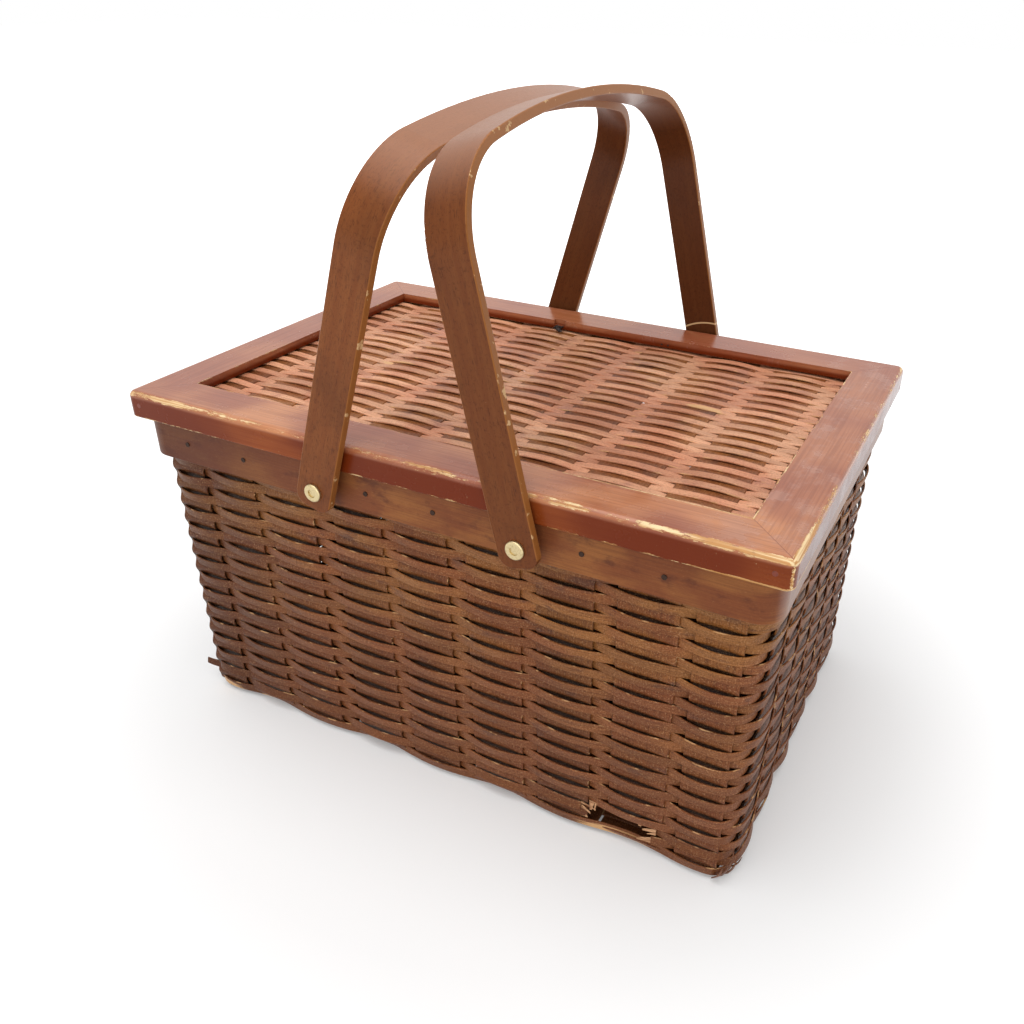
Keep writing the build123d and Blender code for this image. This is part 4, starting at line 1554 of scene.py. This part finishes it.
@dataclass
class TwistedHingeEnd:
    """The dark wire of the left hinge where it comes out of the back rail, twisted together.

    Sizes are millimetres. The two strands start wide apart and close up on each other.
    """

    wire_radius: float = 0.7
    start: float = 2.0
    reach: float = 6.5
    drift: float = 5.0
    turns: float = 1.6
    spread: float = 2.3
    closed_up: float = 1.5
    closing_share: float = 0.4
    flatness: float = 0.8
    points: int = 40

    def build(self, finish: bpy.types.Material) -> bpy.types.Object:
        """Build both strands as one piece."""
        low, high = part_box("left_hinge_staple")
        middle = Vector(((low.x + high.x) / 2, low.y, (low.z + high.z) / 2))
        share = np.linspace(0.0, 1.0, self.points)
        spread = (self.spread - self.closed_up * np.minimum(1.0, share / self.closing_share)) * MM
        strips = []
        for strand in (0.0, math.pi):
            angle = strand + share * self.turns * 2 * math.pi
            x = middle.x + np.cos(angle) * spread + share * self.drift * MM
            y = middle.y + (self.start - share * self.reach) * MM
            z = middle.z + np.sin(angle) * spread * self.flatness
            strips.append(wire(np.column_stack([x, y, z]), self.wire_radius * MM))
        return join_strips("twisted_hinge_end", strips, finish)


@dataclass
class Studio:
    """White room: a pale floor, an even sky, two wide soft lamps and the photograph's camera."""

    camera_place: tuple[float, float, float] = (0.2610, -0.4830, 0.4368)
    looking: tuple[float, float, float] = (-0.38468, 0.77918, -0.49488)
    roll: float = 0.986
    focal_pixels: float = 945.95
    image_pixels: float = 1024.0
    centre_pixels: tuple[float, float] = (564.28, 515.50)
    sensor: float = 36.0
    sky_light: float = 0.45
    overhead: tuple = (0.1, 0.12, -1.0)
    overhead_strength: float = 2.0
    front: tuple = (-0.35, 0.9, -0.3)
    front_strength: float = 1.1
    lamp_softness: float = 60.0
    floor_half: float = 8.0
    floor_colour: float = 0.74
    floor_glow: float = 0.16
    white_from: float = 0.25
    white_at: float = 1.3

    def camera(self) -> None:
        """Stand the camera where the photograph was taken."""
        data = bpy.data.cameras.new("photograph_camera")
        data.sensor_width = self.sensor
        data.lens = self.focal_pixels / self.image_pixels * self.sensor
        half = self.image_pixels / 2
        data.shift_x = (half - self.centre_pixels[0]) / self.image_pixels
        data.shift_y = (self.centre_pixels[1] - half) / self.image_pixels
        data.clip_start, data.clip_end = 0.01, 50.0
        camera = bpy.data.objects.new("photograph_camera", data)
        forward = Vector(self.looking).normalized()
        level = forward.cross(Vector((0, 0, 1))).normalized()
        raised = level.cross(forward)
        turn = math.radians(self.roll)
        right = level * math.cos(turn) + raised * math.sin(turn)
        up = right.cross(forward)
        facing = Matrix((right, up, -forward)).transposed().to_4x4()
        camera.matrix_world = Matrix.Translation(self.camera_place) @ facing
        bpy.context.scene.collection.objects.link(camera)
        bpy.context.scene.camera = camera

    def world(self) -> None:
        """Make the sky: white to the eye and in reflections, softer as a light."""
        world = bpy.data.worlds.new("white_room")
        world.use_nodes = True
        tree = Tree(world.node_tree)
        light = tree.backdrop_rays() * (1 - self.sky_light) + self.sky_light
        sky = tree.node("ShaderNodeBackground", {"Color": WHITE, "Strength": light})
        tree.node("ShaderNodeOutputWorld", {"Surface": sky.outputs[0]})
        bpy.context.scene.world = world

    def lamp(self, name: str, direction: tuple, strength: float) -> None:
        """Hang a wide soft lamp.

        Args:
            name: Its name.
            direction: Which way its light goes.
            strength: Its strength.
        """
        data = bpy.data.lights.new(name, "SUN")
        data.energy = strength
        data.angle = math.radians(self.lamp_softness)
        lamp = bpy.data.objects.new(name, data)
        lamp.rotation_euler = Vector(direction).to_track_quat("-Z", "Y").to_euler()
        bpy.context.scene.collection.objects.link(lamp)

    def floor(self) -> None:
        """Lay the pale floor, which keeps the basket's shadow and turns white further out."""
        half = self.floor_half
        corners = [(-half, -half, 0), (half, -half, 0), (half, half, 0), (-half, half, 0)]
        mesh = bpy.data.meshes.new("floor")
        mesh.from_pydata(corners, [], [(0, 1, 2, 3)])
        floor = bpy.data.objects.new("floor", mesh)
        s = Shading("pale_floor")
        paper = s.node("ShaderNodeBsdfDiffuse", {"Color": (*[self.floor_colour] * 3, 1)})
        reach = {"Value": s.length(s.place), "From Min": self.white_from, "From Max": self.white_at}
        reach |= {"To Min": self.floor_glow, "To Max": 1.0}
        white = Signal(s, s.node("ShaderNodeMapRange", reach).outputs[0])
        glow = s.node("ShaderNodeEmission", {"Color": WHITE, "Strength": s.backdrop_rays() * white})
        both = s.node("ShaderNodeAddShader", {0: paper.outputs[0], 1: glow.outputs[0]})
        s.node("ShaderNodeOutputMaterial", {"Surface": both.outputs[0]})
        mesh.materials.append(s.material)
        bpy.context.scene.collection.objects.link(floor)

    def build(self) -> None:
        """Set up the whole room."""
        self.camera()
        self.world()
        self.lamp("overhead_lamp", self.overhead, self.overhead_strength)
        self.lamp("front_lamp", self.front, self.front_strength)
        self.floor()
        bpy.context.scene.view_settings.view_transform = "Standard"


def handle_lean(side: str) -> tuple[tuple[float, float, float], float]:
    """Return a handle's pivot and how far it leans, read from the frame.

    Args:
        side: "left" or "right".

    Returns:
        The pivot's place and the lean in radians, positive towards +X.
    """
    joint = next(j for j in frame["joints"] if j["name"] == f"{side}_handle_pivot")
    pivot = Vector(joint["pos_m"])
    points = np.array([v.co for v in frame["nodes"][f"{side}_handle"].data.vertices])
    crown = points[np.abs(points[:, 1]) < 0.03].mean(axis=0)
    return tuple(pivot), math.atan2(crown[0] - pivot.x, crown[2] - pivot.z)


def keep(piece: bpy.types.Object, body: Body, slot: str, *replaced: str) -> None:
    """Put a finished piece on its body, hide the CAD nodes that it stands for and report it.

    Args:
        piece: The piece.
        body: Body that it rides on.
        slot: Not used.
        *replaced: CAD nodes that it stands for.
    """
    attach(piece, body.value)
    if replaced:
        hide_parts(*replaced)
    LOG.info("%s rides on %s, %d faces", piece.name, body.value, len(piece.data.polygons))


def build_walls(tree: WeaveTree) -> None:
    """Build the woven walls, the floor and the torn hole."""
    pale_feet = (
        ((-178.0, -123.0, 4.0), (16, 8, 4.5)),
        ((-140.0, -124.0, 3.0), (8, 8, 3)),
        ((118.0, -124.0, 5.0), (21, 8, 3)),
    )
    splint = StainedSplint("stained_wall_splint", patches_mm=pale_feet).material()
    browns = {"body": "#743f1f", "golden": "#875427"}
    stake = StainedSplint("stained_wall_stake", half_width_mm=16.5, **browns).material()
    walls, tear = WovenWalls(), TornHole()
    even, odd = walls.weavers(tree, splint, tear)
    keep(even, Body.BASKET, "weave_splint", "woven_wall")
    keep(odd, Body.BASKET, "weave_splint")
    long_stakes, end_stakes = walls.stakes(stake, tear)
    keep(long_stakes, Body.BASKET, "weave_splint", "woven_floor")
    keep(end_stakes, Body.BASKET, "weave_splint")
    torn = TornWood("torn_raw_wood").material()
    keep(tear.ragged_edges(-walls.foot_y, torn), Body.BASKET, "weave_splint")
    keep(LooseSplints().build(stake), Body.BASKET, "weave_splint")


def build_lid(tree: WeaveTree) -> None:
    """Build the lid's panel and dress its rails, battens and nails."""
    panel = WovenPanel()
    worn_spots = (((-97.0, -5.0, 214.0), (13, 4, 9)), ((104.0, 21.0, 214.0), (11, 3.5, 9)))
    no_dusk = {"low_dusk": 0.0, "left_dusk": 0.0}
    # painted light: the panel's splints get paler, pinker browns than the walls' same splints, for the
    # stronger light and sky sheen on the lid's top
    lit_top_browns = {"shade": "#7c4426", "body": "#cb8a6a", "golden": "#dfa783", "violet": "#b57d69"}
    splint = StainedSplint(
        "stained_panel_splint", half_width_mm=2.65, patches_mm=worn_spots, **lit_top_browns, **no_dusk
    ).material()
    browns = {"body": "#7f4523", "golden": "#945a2b"}
    stake = StainedSplint("stained_panel_stake", half_width_mm=30.0, **browns, **no_dusk).material()
    even, odd = panel.weavers(tree, splint)
    keep(even, Body.LID, "weave_splint", "lid_woven_panel")
    keep(odd, Body.LID, "weave_splint")
    keep(panel.stakes(stake), Body.LID, "weave_splint")
    along_x = LacqueredRail("lacquered_long_rail", Grain.ALONG_X).material()
    along_y = LacqueredRail("lacquered_end_rail", Grain.ALONG_Y).material()
    dress(along_x, "front_lid_rail", "back_lid_rail")
    dress(along_y, "left_lid_rail", "right_lid_rail")
    plain = PlainWood("plain_batten_wood").material()
    dress(plain, *(f"{side}_lid_batten" for side in ("front", "back", "left", "right")))
    painted = AgedMetal("lacquered_over_nail", "#742a10", "#4c1c0c", metallic=0.0, least_roughness=0.3)
    dress(painted.material(), "lid_corner_nails")


def build_rim_and_handles() -> None:
    """Dress the rim bands, the handles and their rivets, and the hinges and iron nails."""
    band = BandWood("stained_band_wood").material()
    dress(band, "outer_rim_band", "inner_rim_band")
    polish = {"least_roughness": 0.24, "grime_share": 0.4}
    brass = AgedMetal("aged_brass_rivet", "#cbb98f", "#8d774d", **polish).material()
    iron = AgedMetal("dark_iron_nail", "#3a271d", "#22160f", metallic=0.6).material()
    rust = AgedMetal("rusted_dark_wire", "#2a2320", "#4a3226", metallic=0.5).material()
    darker = {"stain": "#6c3a1c", "light": "#7a4724", "crack_rise_mm": 34.0}
    for side, own in (("left", {}), ("right", darker)):
        wood = BentHandleWood(f"bent_{side}_handle_wood", *handle_lean(side), **own).material()
        dress(wood, f"{side}_handle")
        for face in ("front", "back"):
            dress(brass, f"{side}_{face}_rivet", f"{side}_{face}_burr")
            dress(band, f"{side}_{face}_spacer")
        dress(rust, f"{side}_hinge_eye", f"{side}_hinge_staple")
    dress(iron, "rim_nails", "batten_nails")
    keep(TwistedHingeEnd().build(rust), Body.LID, "hinge_wire")


def main() -> None:
    """Build the basket and the room."""
    logging.basicConfig(level=logging.INFO, format="%(message)s")
    Studio().build()
    tree = WeaveTree()
    build_walls(tree)
    build_lid(tree)
    build_rim_and_handles()


if __name__ == "__main__":
    main()
